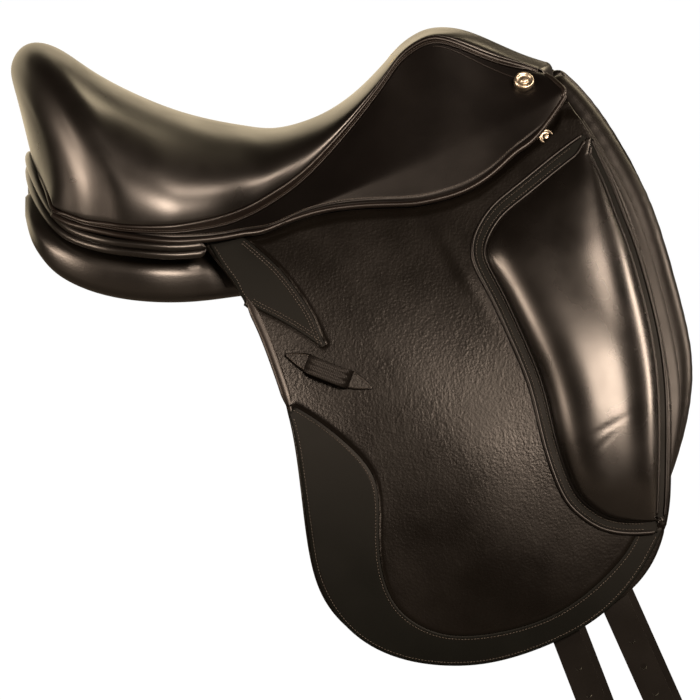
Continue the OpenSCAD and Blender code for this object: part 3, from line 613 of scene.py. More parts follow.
def skirt_grid(nu=230, nv=60):
    """The outside of a skirt, from the welt to its hem, with the kink along the fold smoothed."""
    u = np.linspace(0, 1, nu)
    t = np.linspace(0, 1, 400)
    hem_line = spline(skirt_hem, t)
    lift = front_lift * np.clip((hem_line[:, 0] - 150) / 60, 0, 1) ** 2
    hem_line = on_barrel(hem_line, skirt_hi + lift)
    fx = spline(hem_fold_x, t)[:, 0]
    hem = [np.array([np.interp(x, fx, hem_line[:, k]) for k in range(3)]) for x in fold_x]
    high = np.array(seat_edge, float) + [0, 1, -welt_d - 1.0]
    low = np.concatenate([skirt_tail, hem])
    # Behind the fold the hide has no hinge; the row there lies between seam and hem.
    tail_bend = 0.4 * high[:len(skirt_tail)] + 0.6 * np.array(skirt_tail, float)
    bend = np.concatenate([tail_bend, [fold(x) for x in fold_x]])
    high, bend, low = (spline(p, u) for p in (high, bend, low))
    v = np.linspace(0, 1, nv)[:, None, None]
    at_fold, reach = 0.55, 7
    sharp = np.where(v < at_fold, high + (bend - high) * v / at_fold,
                     bend + (low - bend) * (v - at_fold) / (1 - at_fold))
    kernel = np.exp(-np.linspace(-2, 2, 2 * reach + 1) ** 2)
    longer = np.concatenate([np.repeat(2 * sharp[:1], reach, 0) - sharp[reach:0:-1], sharp,
                             np.repeat(2 * sharp[-1:], reach, 0) - sharp[-2:-reach - 2:-1]])
    grid = sum(w * longer[k:k + nv] for k, w in enumerate(kernel / kernel.sum())).transpose(1, 0, 2)
    # The front end bows forward and up between welt and hem.
    swing = ramp(u, 0.93, 1.0)[:, None] * np.sin(math.pi * np.linspace(0, 1, nv) ** 0.55)[None]
    return grid + swing[..., None] * np.array([1.0, 0, 6.0])


base = skirt_grid()
print("skirt:", round(float(np.ptp(base[..., 0]))), "mm long")


# %% Skirt details
def from_edge(grid, end):
    """Distance of each grid point from the first or last column's edge, along its row."""
    steps = np.linalg.norm(np.diff(grid, axis=1), axis=2)
    run = np.concatenate([np.zeros((len(grid), 1)), np.cumsum(steps, 1)], 1)
    return run if end == 0 else run[:, -1:] - run


def row_at(grid, distance, end):
    """The line on a grid that lies a distance from its first or last column."""
    away = from_edge(grid, end)
    picked = []
    for k in range(len(grid)):
        order = np.argsort(away[k])
        d = distance[k] if np.ndim(distance) else distance
        picked.append([np.interp(d, away[k][order], grid[k][order, c]) for c in range(3)])
    return np.array(picked)


base_n = grid_normals(base, np.array([0, 1.0, 0]))
hem_away = from_edge(base, 1)
# A crease runs along the hem and fades out before the front edge.
crease_deep, crease_away = 0.7, 5.0
inside_front = 1 - ramp(np.linspace(0, 1, len(base)), 0.93, 0.97)
crease = crease_deep * np.exp(-((hem_away - crease_away) ** 2)) * inside_front[:, None]
skirt_top = base - base_n * crease[..., None]

# A bead follows the hem and the front edge. It is drawn through every ninth point, without those at the
# corner, so that the corner comes out round.
rim_n = np.concatenate([base_n[:, -1], base_n[-1, -2:3:-1]])
rim_line = np.concatenate([base[:, -1], base[-1, -2:3:-1]]) - 0.9 * rim_n
pick = np.unique(np.concatenate([np.arange(0, len(base) - 8, 9), np.arange(len(base) + 6, len(rim_line), 9)]))
even = np.linspace(0, 1, 420)
rim_line, rim_n = spline(rim_line[pick], even), unit(spline(rim_n[pick], even))
hem_bead = piping(rim_line, rim_n, 2.3, 2.5, round_section(14))

# A faint fold leaves the welt and drops towards the head stud.
crest = slice(int(0.79 * len(base)), int(0.945 * len(base)))
crest_away = 5.0 + 19.0 * np.linspace(-3.85, 1, len(base)).clip(0) ** 1.6
crest_line = row_at(base + base_n * 0.15, crest_away, 0)[crest]
crest_fold = piping(crest_line, base_n[crest, 0], 0.6, 0.5, round_section(8))

# The welt's flat strip is widest at the waist, where it is gathered.
x = base[:, 0, 0]
strip_least, strip_more, waist_x, waist_reach, strip_rows = 2.0, 8.5, -8, 78, 12
strip_wide = strip_least + strip_more * np.exp(-((x - waist_x) / waist_reach) ** 2)
strip = np.stack([
    row_at(base + base_n * 1.9, strip_wide * f, 0) for f in np.linspace(0, 1, strip_rows)], 1)
gathers = 0.35 * np.sin(along(base[:, 0]) / 0.9) * ramp(-x, -70, -20) * ramp(x, -110, -60)
gathers = gathers[:, None] * np.linspace(1, 0.2, strip_rows)[None]
strip = strip + grid_normals(strip, np.array([0, 1.0, 0])) * gathers[..., None]

# One row of stitches above the hem, one along the strip.
seam_n = np.repeat([[0.0, 1.0, 0.25]], len(base), 0)
stitched = together(*[
    seam(row_at(base + base_n * lift, away, end)[run], seam_n[run], 2.6, 2.0, 0.35)
    for lift, away, end, run in ((0.1, 7.0, 1, slice(30, -16)), (2.1, strip_wide - 1.6, 0, slice(20, -20)))])
print("stitches a skirt:", stitches_in(stitched))

# %% Place the skirts
# Square to the fold and pointing down the hide.
across = unit(np.cross(fold_front - fold_rear, [0, 1, 0.35]))
across = across if across[2] < 0 else -across
for name, s in SIDES.items():
    piece = make_object("skirt_hide_" + name, *hide(skirt_top, skirt_t), skirt_leather, s)
    welt_flat = make_object("welt_strip_" + name, *hide(strip, 1.6), edge_leather, s)
    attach(welt_flat, "frame")
    rows_piece = make_object("skirt_stitching_" + name, *stitched, thread, s)
    bead_piece = make_object("skirt_bead_" + name, *together(hem_bead, crest_fold), edge_leather, s)
    flip = np.array([1, s, 1]) * MM
    for part in (piece, rows_piece, bead_piece):
        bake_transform(part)
    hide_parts("skirt_head_" + name, "skirt_" + name)
print("skirt:", len(piece.data.vertices), "points a side")

# %% [markdown]
# ## Flaps
# The flap's middle is milled leather over a thin pad, so it stands a little proud of the smooth border and
# of the corner, and its edge rolls down into their seams. A Bevel modifier would round the outer edge but
# not the seams, so the distance to the seams, measured on the outline, drives the roll.

# %% Flap outlines
flap_rear = [
    (-66, -14), (-62, -24), (-44, -47), (-23, -84), (-7, -126), (7, -177), (15, -243), (25, -304),
    (50, -344), (91, -370), (136, -378)]
flap_front = [
    (252, 94), (268, 68), (288, 32), (306, -15), (321, -72), (331, -130), (333, -175), (331, -225),
    (326, -265), (288, -325), (170, -376)]
flap_head = [
    (-66, -14), (-40, -7), (-12, 0), (20, 9), (62, 19), (118, 22), (156, 28), (184, 45), (208, 67),
    (228, 83), (252, 94)]
border_out = [
    (3, -160), (9, -186), (14, -225), (19, -268), (27, -307), (51, -346), (90, -371), (135, -380),
    (180, -377), (228, -362), (271, -338), (304, -303), (326, -264)]
border_in = [
    (8, -156), (30, -170), (56, -192), (75, -218), (79, -250), (79, -285), (90, -324), (118, -348),
    (155, -355), (205, -347), (250, -326), (288, -292), (305, -264)]
corner_rear = [(-64, -16), (-50, -38), (-41, -51), (-32, -66), (-10, -79), (14, -93), (33, -106)]
corner_front = [(-38, -9), (-12, -31), (3, -47), (14, -62), (25, -80), (32, -97), (36, -104)]
flap_t, trim_lo, trim_t, proud = 4.0, 15.6, 1.4, 3.0
print("flap:", max(p[1] for p in flap_head) - min(p[1] for p in border_out), "mm high")


# %% Sheets and lines on the flap
def patch(side_a, side_b, top, u, v):
    """A four-sided sheet between two side curves, under a top curve, as [x, z]."""
    a, b = spline(side_a, u)[:, None], spline(side_b, u)[:, None]
    straight = a + (b - a) * v[None, :, None]
    chord = np.array(side_a[0]) + (np.array(side_b[0]) - np.array(side_a[0])) * v[:, None]
    return straight + ((1 - u) ** 3)[:, None, None] * (spline(top, v) - chord)[None]


def near_line(points, line):
    """Distance from each point to a polyline."""
    best = np.full(points.shape[:-1], 1e9)
    for a, b in zip(line, line[1:]):
        d = b - a
        f = np.clip(((points - a) @ d) / max(d @ d, 1e-9), 0, 1)
        best = np.minimum(best, np.linalg.norm(points - a - f[..., None] * d, axis=-1))
    return best


def inside(points, outline):
    """Whether each point lies inside a closed outline."""
    x, z = points[..., 0], points[..., 1]
    hit = np.zeros(x.shape, bool)
    for (x0, z0), (x1, z1) in zip(outline, np.roll(outline, -1, 0)):
        cross = (z0 > z) != (z1 > z)
        hit ^= cross & (x < (x1 - x0) * (z - z0) / (z1 - z0 + 1e-12) + x0)
    return hit


def shifted(line, by):
    """A line in the side view, moved square to itself."""
    t = unit(np.gradient(line, axis=0))
    return line + by * np.stack([-t[:, 1], t[:, 0]], -1)


def trim_sheet(edge_a, edge_b, nv, off):
    """A sheet between two lines, laid on the barrel."""
    v = np.linspace(0, 1, nv)[None, :, None]
    return on_barrel(edge_a[:, None] * (1 - v) + edge_b[:, None] * v, off)


def on_flap(line, off):
    """A line laid on the barrel, and the directions off it."""
    points = on_barrel(line, off)
    return points, off_barrel(points)


print("border at its widest:", round(float(near_line(np.array(border_in), np.array(border_out)).max())), "mm")

# %% Flap middle, border and corner
t = np.linspace(0, 1, 90)
border_line, outer_line = spline(border_in, t), spline(border_out, t)
front_line, rear_line = spline(corner_front, t), spline(corner_rear, t)
# The corner's rear line follows the flap's edge in its first half and crosses the flap in its second.
edge_line, lower_line = rear_line[:46], rear_line[45:]
flat = patch(flap_rear, flap_front, flap_head, np.linspace(0, 1, 230), np.linspace(0, 1, 170))
past_edge = -14
under_border = inside(flat, np.concatenate([border_line, shifted(outer_line, past_edge)[::-1]]))
under_corner = inside(flat, np.concatenate([
    front_line, lower_line[::-1], shifted(edge_line, past_edge)[::-1]]))
away = np.min([near_line(flat, line) for line in (border_line, front_line, lower_line)], axis=0)
away = np.where(under_border | under_corner, -away, away)
# The edge is a quarter round that starts a little outside the seam. Where the skirt covers it, the hide
# lies flat.
roll_start, roll_wide = 0.5, 4.0
roll = np.sqrt(np.clip(1 - (1 - np.clip((away + roll_start) / roll_wide, 0, 1)) ** 2, 0, 1))
x, z = flat[..., 0], flat[..., 1]
under = np.interp(x, [p[0] for p in skirt_hem], [p[1] for p in skirt_hem])
roll = roll * (1 - ramp(z, under - 14, under - 3))
# Worn leather waves a little, and the stirrup leather has left a ridge below the skirt.
waves = 0.8 * np.sin(x / 27 + z / 60) * np.exp(-((z + 150) / 120) ** 2)
ridge = 1.1 * np.exp(-((x - 148 + (z + 30) * 0.55) / 9) ** 2 - ((z + 40) / 34) ** 2)
flap_top = on_barrel(flat, flap_hi)
flap_top = flap_top + off_barrel(flap_top) * ((proud + waves + ridge) * roll)[..., None]

border_sheet = trim_sheet(border_line, outer_line, 16, trim_lo + trim_t)
corner_sheet = trim_sheet(front_line, rear_line, 14, trim_lo + trim_t)
seam_off = trim_lo + trim_t + 0.1
stitch_lines = [
    shifted(border_line, -2.8), shifted(outer_line, 2.6)[2:-2],
    shifted(front_line, -2.6)[3:-4], shifted(front_line, -5.0)[3:-9],
    shifted(lower_line, 2.6)[2:-4], shifted(lower_line, 5.0)[2:-9], shifted(rear_line[:45], 2.4)[3:]]
stitching = together(*[
    seam(*on_flap(evenly(line, 1.0), seam_off), 2.8, 2.1, 0.42) for line in stitch_lines])
print("stitches a flap:", stitches_in(stitching))

# %% [markdown]
# ## Thigh blocks
# The block is foam under tightly drawn calf: a flange with a piped edge on both sides, and a crown that
# rises from it at once. A subdivided box could be pulled into this shape, but then its outline would drift.
# Rows between the two edge curves keep the outline, and a dome across each row makes the crown.

# %% Thigh block
block_rear = [
    (266, 68), (240, 51), (206, 26), (184, 9), (169, -12), (166, -36), (180, -66), (198, -106), (213, -146),
    (223, -190), (237, -232), (252, -252), (272, -265), (298, -270), (325, -269)]
block_front = [
    (272, 64), (277, 52), (284, 36), (291, 18), (298, -2), (306, -24), (315, -56), (324, -96), (329, -135),
    (330, -170), (329, -205), (328, -228), (327, -245), (326, -255), (326, -262)]
block_rise = [0.02, 0.14, 0.38, 0.55, 0.7, 0.82, 0.92, 1, 1, 0.96, 0.84, 0.66, 0.42, 0.2, 0.04]
block_crown, flange, band = 32.0, 11.0, 7.0
u = np.linspace(0.004, 0.985, 200)
front_edge, rear_edge = spline(block_front, u), spline(block_rear, u)
beside = shifted(rear_edge, 1.0)
inner_line = beside + (shifted(rear_edge, flange) - beside) * ramp(u, -0.02, 0.05)[:, None]
width = np.linalg.norm(inner_line - front_edge, axis=1)
front_inner = front_edge + (inner_line - front_edge) * np.minimum(band / width, 0.25)[:, None]


def strip_between(line_a, line_b, count):
    """Rows of points from one line to another."""
    f = np.linspace(0, 1, count)[None, :, None]
    return line_a[:, None] * (1 - f) + line_b[:, None] * f


f = np.linspace(0, 1, 90)
block_flat = strip_between(front_inner, inner_line, len(f))
rise = np.clip(spline(block_rise, u), 0, 1.02)
dome = np.clip(1 - np.abs(2 * f - 1) ** 2.6, 0, 1)[None] ** 0.5
# Two faint creases where the knee presses: depth, place, slope and its pivot, middle and reach.
knee_marks = [(0.45, 0.63, 0.05, 0.4, 0.55, 0.2), (0.35, 0.66, 0.09, 0.6, 0.62, 0.16)]
creases = 0.0
for depth, at, slope, pivot, mid, reach in knee_marks:
    off = u[:, None] - at - slope * (f[None] - pivot)
    creases = creases + depth * np.exp(-((off / 0.004) ** 2)) * np.exp(-(((f[None] - mid) / reach) ** 2))
height = 2.2 + (block_crown - 1) * rise * dome - creases
block_lo, flange_off = trim_lo + proud, 0.9
block_top = on_barrel(block_flat, block_lo - 1) + np.array([0, 1.0, 0]) * height[..., None]
rear_flange = on_barrel(strip_between(inner_line, rear_edge, 12), block_lo + flange_off)
front_flange = on_barrel(strip_between(front_edge, front_inner, 8), block_lo + flange_off)

block_piping = together(*[
    piping(*on_flap(line, block_lo + off), wide, high) for line, off, wide, high in (
        (rear_edge[1:-1], 0.4, 1.9, 1.9), (inner_line[1:-1], 1.6, 1.7, 1.9),
        (front_inner[6:-14], 1.4, 1.5, 1.7), (front_edge[1:-8], 0.4, 1.7, 1.7))])
block_seams = together(*[
    seam(*on_flap(evenly(line, 1.0), block_lo + off), 2.8, 2.1, 0.4)
    for line, off in ((shifted(rear_edge, 3.2)[8:-6], 1.6), (shifted(inner_line, -2.8)[14:-6], 1.7))])
print("thigh block:", round(float(width.max())), "mm wide,", round(float(height.max())), "mm high")

# %% [markdown]
# ## Keeper and rolled edge
# The keeper is a short loop of tape whose ends vanish under two pointed tabs. It could be a Bezier strip;
# a grid in the keeper's own directions is turned and laid on the flap in one step. Behind it the flap's
# hide wraps round a cord, which a tapered piping gives.

# %% Keeper and tabs
keeper_mid, keeper_half, keeper_w, keeper_gap = np.array([38.0, -126.0]), 21.0, 15.0, 8.0
keeper_turn, tab_long = math.radians(-22), 22


def keeper_at(a, b):
    """Places in the side view, from places along and across the keeper."""
    a, b = np.broadcast_arrays(a, b)
    c, s = math.cos(keeper_turn), math.sin(keeper_turn)
    return keeper_mid + np.stack([a * c - b * s, a * s + b * c], -1)


a, b = np.linspace(-1, 1, 60), np.linspace(-1, 1, 18)
loop_flat = keeper_at(a[:, None] * keeper_half, b[None, :] * keeper_w / 2)
loop_ribs = 0.35 * np.cos(b * 9.4)[None, :]
loop_top = on_barrel(loop_flat, block_lo + 1 + keeper_gap * (1 - np.abs(a) ** 6)[:, None] + loop_ribs)
tab_hi = block_lo + trim_t
far = np.linspace(0, 1, 26)
tab_half = keeper_w / 2 * (1 - 0.93 * far**1.5)
stitch_in = tab_half - 1.6 * (1 - far)
tabs, tab_seams = [], []
for end in (-1, 1):
    sheet = keeper_at(end * (keeper_half - 3 + tab_long * far)[:, None],
                      tab_half[:, None] * np.linspace(-1, 1, 12)[None])
    tabs.append(hide(on_barrel(sheet, tab_hi), 1.8))
    reach = end * (keeper_half - 1 + 18 * far)
    rim = np.concatenate([keeper_at(reach, stitch_in), keeper_at(reach, -stitch_in)[::-1]])
    tab_seams.append(seam(*on_flap(evenly(rim, 1.0), tab_hi + 0.2), 2.6, 1.9, 0.35))
print("keeper:", 2 * keeper_half, "mm long, with", keeper_gap, "mm of room under its loop")

# %% Rolled rear edge
rear_edge_line = spline(flap_rear, np.linspace(0, 1, 400))
bare = (rear_edge_line[:, 1] < -58) & (rear_edge_line[:, 1] > -168)
rolled = on_barrel(shifted(evenly(rear_edge_line[bare], 2.0), 1.5), flap_hi + 1.2)
run = along(rolled)
taper = 0.15 + 0.85 * ramp(np.minimum(run, run[-1] - run), 0, 26)
rolled_edge = piping(rolled, off_barrel(rolled), 4.6 * taper, 2.3 * taper, round_section(20))
print("rolled edge:", round(float(run[-1])), "mm long")

# %% Place the flap's pieces
for name, s in SIDES.items():
    body, flip = "flap_" + name, np.array([1, s, 1]) * MM
    sheet = make_object("flap_hide_" + name, *hide(flap_top, flap_t + 0.5), flap_leather, s)
    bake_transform(sheet)
    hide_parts("flap_head_" + name, "flap_" + name)
    wrapped = make_object("flap_rolled_edge_" + name, *rolled_edge, edge_leather, s)
    border = make_object("border_trim_" + name, *hide(border_sheet, trim_t), trim_leather, s)
    corner = make_object("corner_trim_" + name, *hide(corner_sheet, trim_t), trim_leather, s)
    rows_piece = make_object("flap_stitching_" + name, *stitching, thread, s)
    block = make_object("thigh_pad_" + name, *hide(block_top, 3.0), block_leather, s)
    both_flanges = together(hide(rear_flange, 1.8), hide(front_flange, 1.8))
    flanges = make_object("thigh_flange_" + name, *both_flanges, trim_leather, s)
    cord = make_object("thigh_piping_" + name, *block_piping, skirt_leather, s)
    cord_rows = make_object("thigh_stitching_" + name, *block_seams, thread, s)
    loop_piece = make_object("keeper_tape_" + name, *hide(loop_top, 2.0), tape, s)
    tab_piece = make_object("keeper_points_" + name, *together(*tabs), flap_leather, s)
    tab_rows = make_object("keeper_stitching_" + name, *together(*tab_seams), thread, s)
    smooth = (wrapped, border, corner, rows_piece, block, flanges, cord, cord_rows, tab_piece, tab_rows)
    for part in (*smooth, loop_piece):
        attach(part, body)
    for part, node in ((border, "flap_border_"), (corner, "flap_corner_"), (block, "thigh_block_"),
                       (loop_piece, "keeper_loop_"), (tab_piece, "keeper_tabs_")):
        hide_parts(node + name)
print("flap pieces a side:", 2 + len(smooth))

# %% [markdown]
# ## Panels
# Each panel is a leather bag stuffed with wool. Its sections, from the rounded rear to the shoulder, are
# joined in one skin. The swell could be drawn into the sections by hand; a short cloth simulation with air
# pressure finds it as flock does, strongest where nothing holds the skin. One panel is simulated; the other
# is its mirror image.

# %% Panel skin
panel_x = [-224, -219, -210, -195, -170, -140, -105, -70, -40, 0, 50, 100, 150, 190, 220, 245, 258]
# inner and outer side, roof at the inner and outer side, bottom at the inner and outer side
panel_shape = [
    (46, 66, 20, 8, 12, 2), (38, 88, 27, 2, -4, -18), (35, 106, 30, -6, -16, -34),
    (34, 120, 30, -12, -28, -50), (34, 132, 22, -20, -38, -63), (34, 138, 14, -25, -46, -71),
    (34, 138, 8, -28, -50, -75), (34, 127, 4, -30, -52, -75), (34, 113, 4, -24, -52, -72),
    (34, 103, 4, -12, -52, -68), (34, 97, 4, -10, -50, -66), (34, 93, 8, -10, -46, -66),
    (34, 91, 10, -18, -40, -68), (34, 88, 16, -30, -32, -74), (36, 87, 26, -44, -14, -80),
    (42, 82, 34, -44, 10, -74), (50, 74, 30, -30, 14, -54)]


def fuller(f):
    """A sine or cosine as a share from 0 to 1, with fuller corners than a circle's."""
    return 0.5 + 0.5 * np.sign(f) * np.abs(f) ** 0.6


def panel_skin(nu=120, nv=48):
    """Rings of points round a panel; each section has an inner and outer side, a roof and a bottom."""
    u = np.linspace(0, 1, nu)
    x = spline(panel_x, u)
    p = spline(panel_shape, u)
    # Under the sweat flap the outer side leans against it and so follows the barrel.
    lean = np.clip((150 - x) / 50, 0, 1) * np.clip((x + 70) / 60, 0, 1)
    a = np.linspace(0, 2 * math.pi, nv, endpoint=False)[None]
    m, b = fuller(np.cos(a)), fuller(np.sin(a))
    bottom = p[:, 4:5] + (p[:, 5:6] - p[:, 4:5]) * m
    roof = p[:, 2:3] + (p[:, 3:4] - p[:, 2:3]) * m
    z = bottom + (roof - bottom) * b
    outer = p[:, 1:2] + (barrel(x, z) - 2.0 - p[:, 1:2]) * lean
    y = p[:, :1] + (outer - p[:, :1]) * m
    grid = np.stack([np.broadcast_to(x, y.shape), y, z], -1)
    return grid.reshape(-1, 3), tube(nu, nv)


panel_points, panel_faces = panel_skin()
print("panel:", len(panel_points), "points a side")


# %% Stuff the panels
def inflate(points, faces, held, cap, steps=20):
    """The skin after a short cloth simulation under air pressure, moved by no more than the cap."""
    bag = make_object("pattern", points, faces, lining_leather)
    group = bag.vertex_groups.new(name="held")
    for k in np.nonzero(held > 0.02)[0]:
        group.add([int(k)], float(held[k]), "REPLACE")
    cloth = bag.modifiers.new("cloth", "CLOTH")
    cloth.settings.vertex_group_mass = "held"
    cloth.settings.use_pressure = True
    cloth.settings.uniform_pressure_force = 4.0
    cloth.settings.effector_weights.gravity = 0.0
    cloth.settings.tension_stiffness = cloth.settings.compression_stiffness = 20.0
    cloth.settings.shear_stiffness, cloth.settings.bending_stiffness = 10.0, 1.0
    scene = bpy.context.scene
    for step in range(1, steps + 1):
        scene.frame_set(step)
    ready = bag.evaluated_get(bpy.context.evaluated_depsgraph_get())
    swollen = np.array([v.co for v in ready.data.vertices]) / MM
    scene.frame_set(1)
    mesh = bag.data
    bpy.data.objects.remove(bag)
    bpy.data.meshes.remove(mesh)
    move = swollen - points
    size = np.linalg.norm(move, axis=1, keepdims=True)
    return points + move * (cap * np.tanh(size / cap) / np.maximum(size, 1e-6))


ahead = ramp(panel_points[:, 0], -75, -35)
inner = 1 - ramp(panel_points[:, 1], 44, 70)
roof = ramp(panel_points[:, 2], -22, -6)
swollen = inflate(panel_points, panel_faces, np.maximum(ahead, np.maximum(inner, roof)), 4.0)
print("largest swelling:", round(float(np.linalg.norm(swollen - panel_points, axis=1).max()), 2), "mm")
panel_points = swollen
for name, s in SIDES.items():
    panel = make_object("panel_bag_" + name, panel_points, panel_faces, lining_leather, s)
    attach(panel, "frame")
    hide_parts("panel_" + name)
low_x, high_x = panel_points[:, 0].min(), panel_points[:, 0].max()
print("panels:", round(float(high_x - low_x)), "mm long")

# %% [markdown]
# ## Facings
# Strips of hide close the saddle at both ends. At the cantle two beads run side by side over a soft core;
# two curve bevels could do it, but one section with two lobes, swept along the seam, keeps them together.
# At the pommel a flat arch is folded in under the tree. Both are drawn tight, so they are shaped directly.

# %% Cantle facing
facing_path = [
    (-66, 141, -23), (-92, 147, -24), (-119, 148, -22), (-145, 145, -19), (-165, 137, -15),
    (-185, 121, -8), (-200, 98, 4), (-211, 68, 19), (-218, 34, 32), (-220, 0, 37)]
half = np.array(facing_path, float)
line = np.concatenate([half, half[-2::-1] * [1, -1, 1]])
line = evenly(spline(line, np.linspace(0, 1, 600)), 2.0)
back = 1 - ramp(np.abs(line[:, 1]), 40, 130)
line[:, 2] += 2.2 + 3.5 * back
out = unit((line - [-60.0, 0, 0]) * [0.6, 1, 0])
lobe = np.linspace(0, math.pi, 11)
beads = np.concatenate([
    np.stack([0.5 + 0.5 * np.cos(lobe), 0.25 + 0.75 * np.sin(lobe)], -1),
    np.stack([-0.5 + 0.5 * np.cos(lobe[1:]), 0.25 + 0.75 * np.sin(lobe[1:])], -1),
    np.stack([np.linspace(-0.9, 0.9, 8), np.full(8, -0.5)], -1)])
facing = make_object("cantle_facing_roll", *piping(line, out, 7.0 + 4.0 * back, 4.6, beads), seat_leather)
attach(facing, "frame")
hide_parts("cantle_facing")
print("facing:", round(along(line)[-1]), "mm long")

# %% Pommel facing
arch_out = [(0, 112), (24, 111), (40, 106), (50, 96), (54, 84), (54, 72)]
arch_in = [(0, 81.5), (14, 80), (23, 75.5), (29, 69), (33, 64), (36, 58)]
t = np.linspace(0, 1, 81)
outer, inner = (spline([(-y, z) for y, z in a[:0:-1]] + a, t) for a in (arch_out, arch_in))
v = np.linspace(0, 1, 14)[None, :, None]
face = outer[:, None] * (1 - v) + inner[:, None] * v
depth = np.broadcast_to(236.0 + 3.5 * np.sin(math.pi * v[..., 0] ** 0.8), face.shape[:2])
front = np.concatenate([depth[..., None], face], -1)
wrap = np.stack([np.concatenate([np.full((len(t), 1), x), inner - [0, 0.4]], 1)
                 for x in (231.0, 224.0, 215.0, 205.0)], 1)
arch = hide(np.concatenate([front, wrap], 1), 1.6, facing=(1, 0, 0))
pommel = make_object("pommel_arch", *arch, skirt_leather)
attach(pommel, "frame")
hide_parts("pommel_facing")
print("pommel facing:", len(pommel.data.vertices), "points")

# %% [markdown]
# ## Front roll and sweat flap
# A padded roll edges the sweat flap in front of the knee. It could be a curve with a round bevel; rings
# between the flap's front and the roll's edge also give its changing width, its puckers and round ends.

# %% Front roll and sweat flap
roll_line = [
    (240, 112, 9), (256, 96, 10), (273, 70, 13), (291, 37, 15), (308, 0, 16), (322, -45, 16),
    (333, -90, 16), (340, -130, 15), (338, -170, 13), (330, -208, 10), (321, -242, 6)]
sweat_rear = [
    (-38, -24), (-20, -62), (2, -110), (20, -170), (30, -230), (40, -280), (62, -318), (100, -342),
    (140, -350)]
sweat_front = [
    (264, 80), (292, 34), (313, -13), (331, -75), (341, -129), (342, -170), (334, -215), (300, -285),
    (180, -350)]
sweat_head = [(-38, -24), (0, -12), (40, -4), (90, 0), (130, 0), (165, 8), (200, 30), (235, 58), (264, 80)]
roll_t, sweat_t, widest, roll_sides = 24.0, 4.0, 16, 28
u = np.linspace(0, 1, 160)
core = spline(roll_line, u)
half_wide = core[:, 2]
side_n = flat_normal(np.gradient(core[:, :2], axis=0))
deep = 0.5 * roll_t * (0.4 + 0.6 * half_wide / widest)
a = np.linspace(0, 2 * math.pi, roll_sides, endpoint=False)
# Slight puckers along the roll, and rounded ends.
pucker = 1 + 0.006 * np.sin(u * 140 + 2 * np.sin(u * 31)) + 0.004 * np.sin(u * 233 + 3 * np.sin(u * 17))
run = along(core[:, :2])
near = np.clip(np.minimum(run, run[-1] - run) / half_wide, 0.02, 1)
swell = pucker * np.sqrt(1 - (1 - near) ** 2)
sideways = side_n[:, None] * (half_wide * swell)[:, None, None]
roll_flat = core[:, None, :2] - sideways * np.cos(a)[None, :, None]
x, z = roll_flat[..., 0], roll_flat[..., 1]
y = barrel(x, z) - deep[:, None] - 0.6 + (deep * swell)[:, None] * np.sin(a)[None]
roll_grid = np.stack([x, y, z], -1)
roll_faces = turned(tube(len(u), roll_sides))
sweat_flat = patch(sweat_rear, sweat_front, sweat_head, np.linspace(0, 1, 120), np.linspace(0, 1, 90))
sweat_top = on_barrel(sweat_flat, sweat_t)
for name, s in SIDES.items():
    roll_piece = make_object("front_pad_" + name, roll_grid.reshape(-1, 3), roll_faces, roll_leather, s)
    sweat = make_object("sweat_hide_" + name, *hide(sweat_top, sweat_t), roll_leather, s)
    for part, node in ((roll_piece, "front_roll_"), (sweat, "sweat_flap_")):
        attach(part, "frame")
        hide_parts(node + name)
print("front roll:", round(run[-1]), "mm long")

# %% [markdown]
# ## Girth straps
# Each strap is one length of bridle leather. Above the bend it lies on the sweat flap, below it hangs free
# with a row of punched holes. A Boolean could punch them but leaves thin triangles that shade badly. So
# each cell of the strap is a ring of faces from its square outline to the round hole.

# %% Strap plan
strap_w, strap_t, strap_lo, strap_top = 25, 4, 5, -20
hole_d, hole_pitch, hole_count, first_hole, ring, lip = 5.5, 25, 9, 16, 24, 1.2
tail_len, tip, close = 250, 18, 1e-6
feet = {"front": ((290, -349), 23), "rear": ((244, -371), 20)}


def strap_plan():
    """Outline cells of the hanging part: [across, along] points and faces, with round holes."""
    points, faces = [], []
    w = strap_w / 2
    for k in range(hole_count):
        mid = first_hole + k * hole_pitch
        y0 = 0 if k == 0 else mid - hole_pitch / 2
        y1 = tail_len - tip if k == hole_count - 1 else mid + hole_pitch / 2
        base = len(points)
        for layer in range(3):
            for j in range(ring):
                ang = 2 * math.pi * (j + 0.5) / ring
                c, s = math.cos(ang), math.sin(ang)
                reach = min(w / abs(c), ((y1 - mid) if s > 0 else (mid - y0)) / abs(s))
                r = (hole_d / 2, hole_d / 2 + lip, reach)[layer]
                points.append((r * c, mid + r * s))
        faces += [tuple(base + n for n in f) for f in turned(quads(3, ring, closed=True))]
        corner_of = {}
        for sx in (-1, 1):
            for yy in (y0, y1):
                corner_of[(sx, yy)] = len(points)
                points.append((sx * w, yy))
        # A triangle fills each corner of the cell, where its outline turns from side to end.
        outer = base + 2 * ring
        for j in range(ring):
            m = (j + 1) % ring
            pa, pb = points[outer + j], points[outer + m]
            if (abs(abs(pa[0]) - w) < close) != (abs(abs(pb[0]) - w) < close):
                sx = 1 if pa[0] + pb[0] > 0 else -1
                yy = y1 if pa[1] + pb[1] > 2 * mid else y0
                faces.append((outer + j, corner_of[(sx, yy)], outer + m))
    last_row = [k for k, p in enumerate(points) if abs(p[1] - (tail_len - tip)) < close]
    base = len(points)
    points += [(w * 0.8, tail_len - 9), (w / 3, tail_len), (-w / 3, tail_len), (-w * 0.8, tail_len - 9)]
    faces.append(tuple(sorted(last_row, key=lambda k: points[k][0])) + tuple(range(base, base + 4)))
    spots, first = {}, []
    for p in points:
        first.append(spots.setdefault((round(p[0], 3), round(p[1], 3)), len(spots)))
    return np.array(list(spots)), [tuple(first[k] for k in f) for f in faces]


plan_points, plan_faces = strap_plan()
print("hanging part:", len(plan_points), "points,", hole_count, "holes")


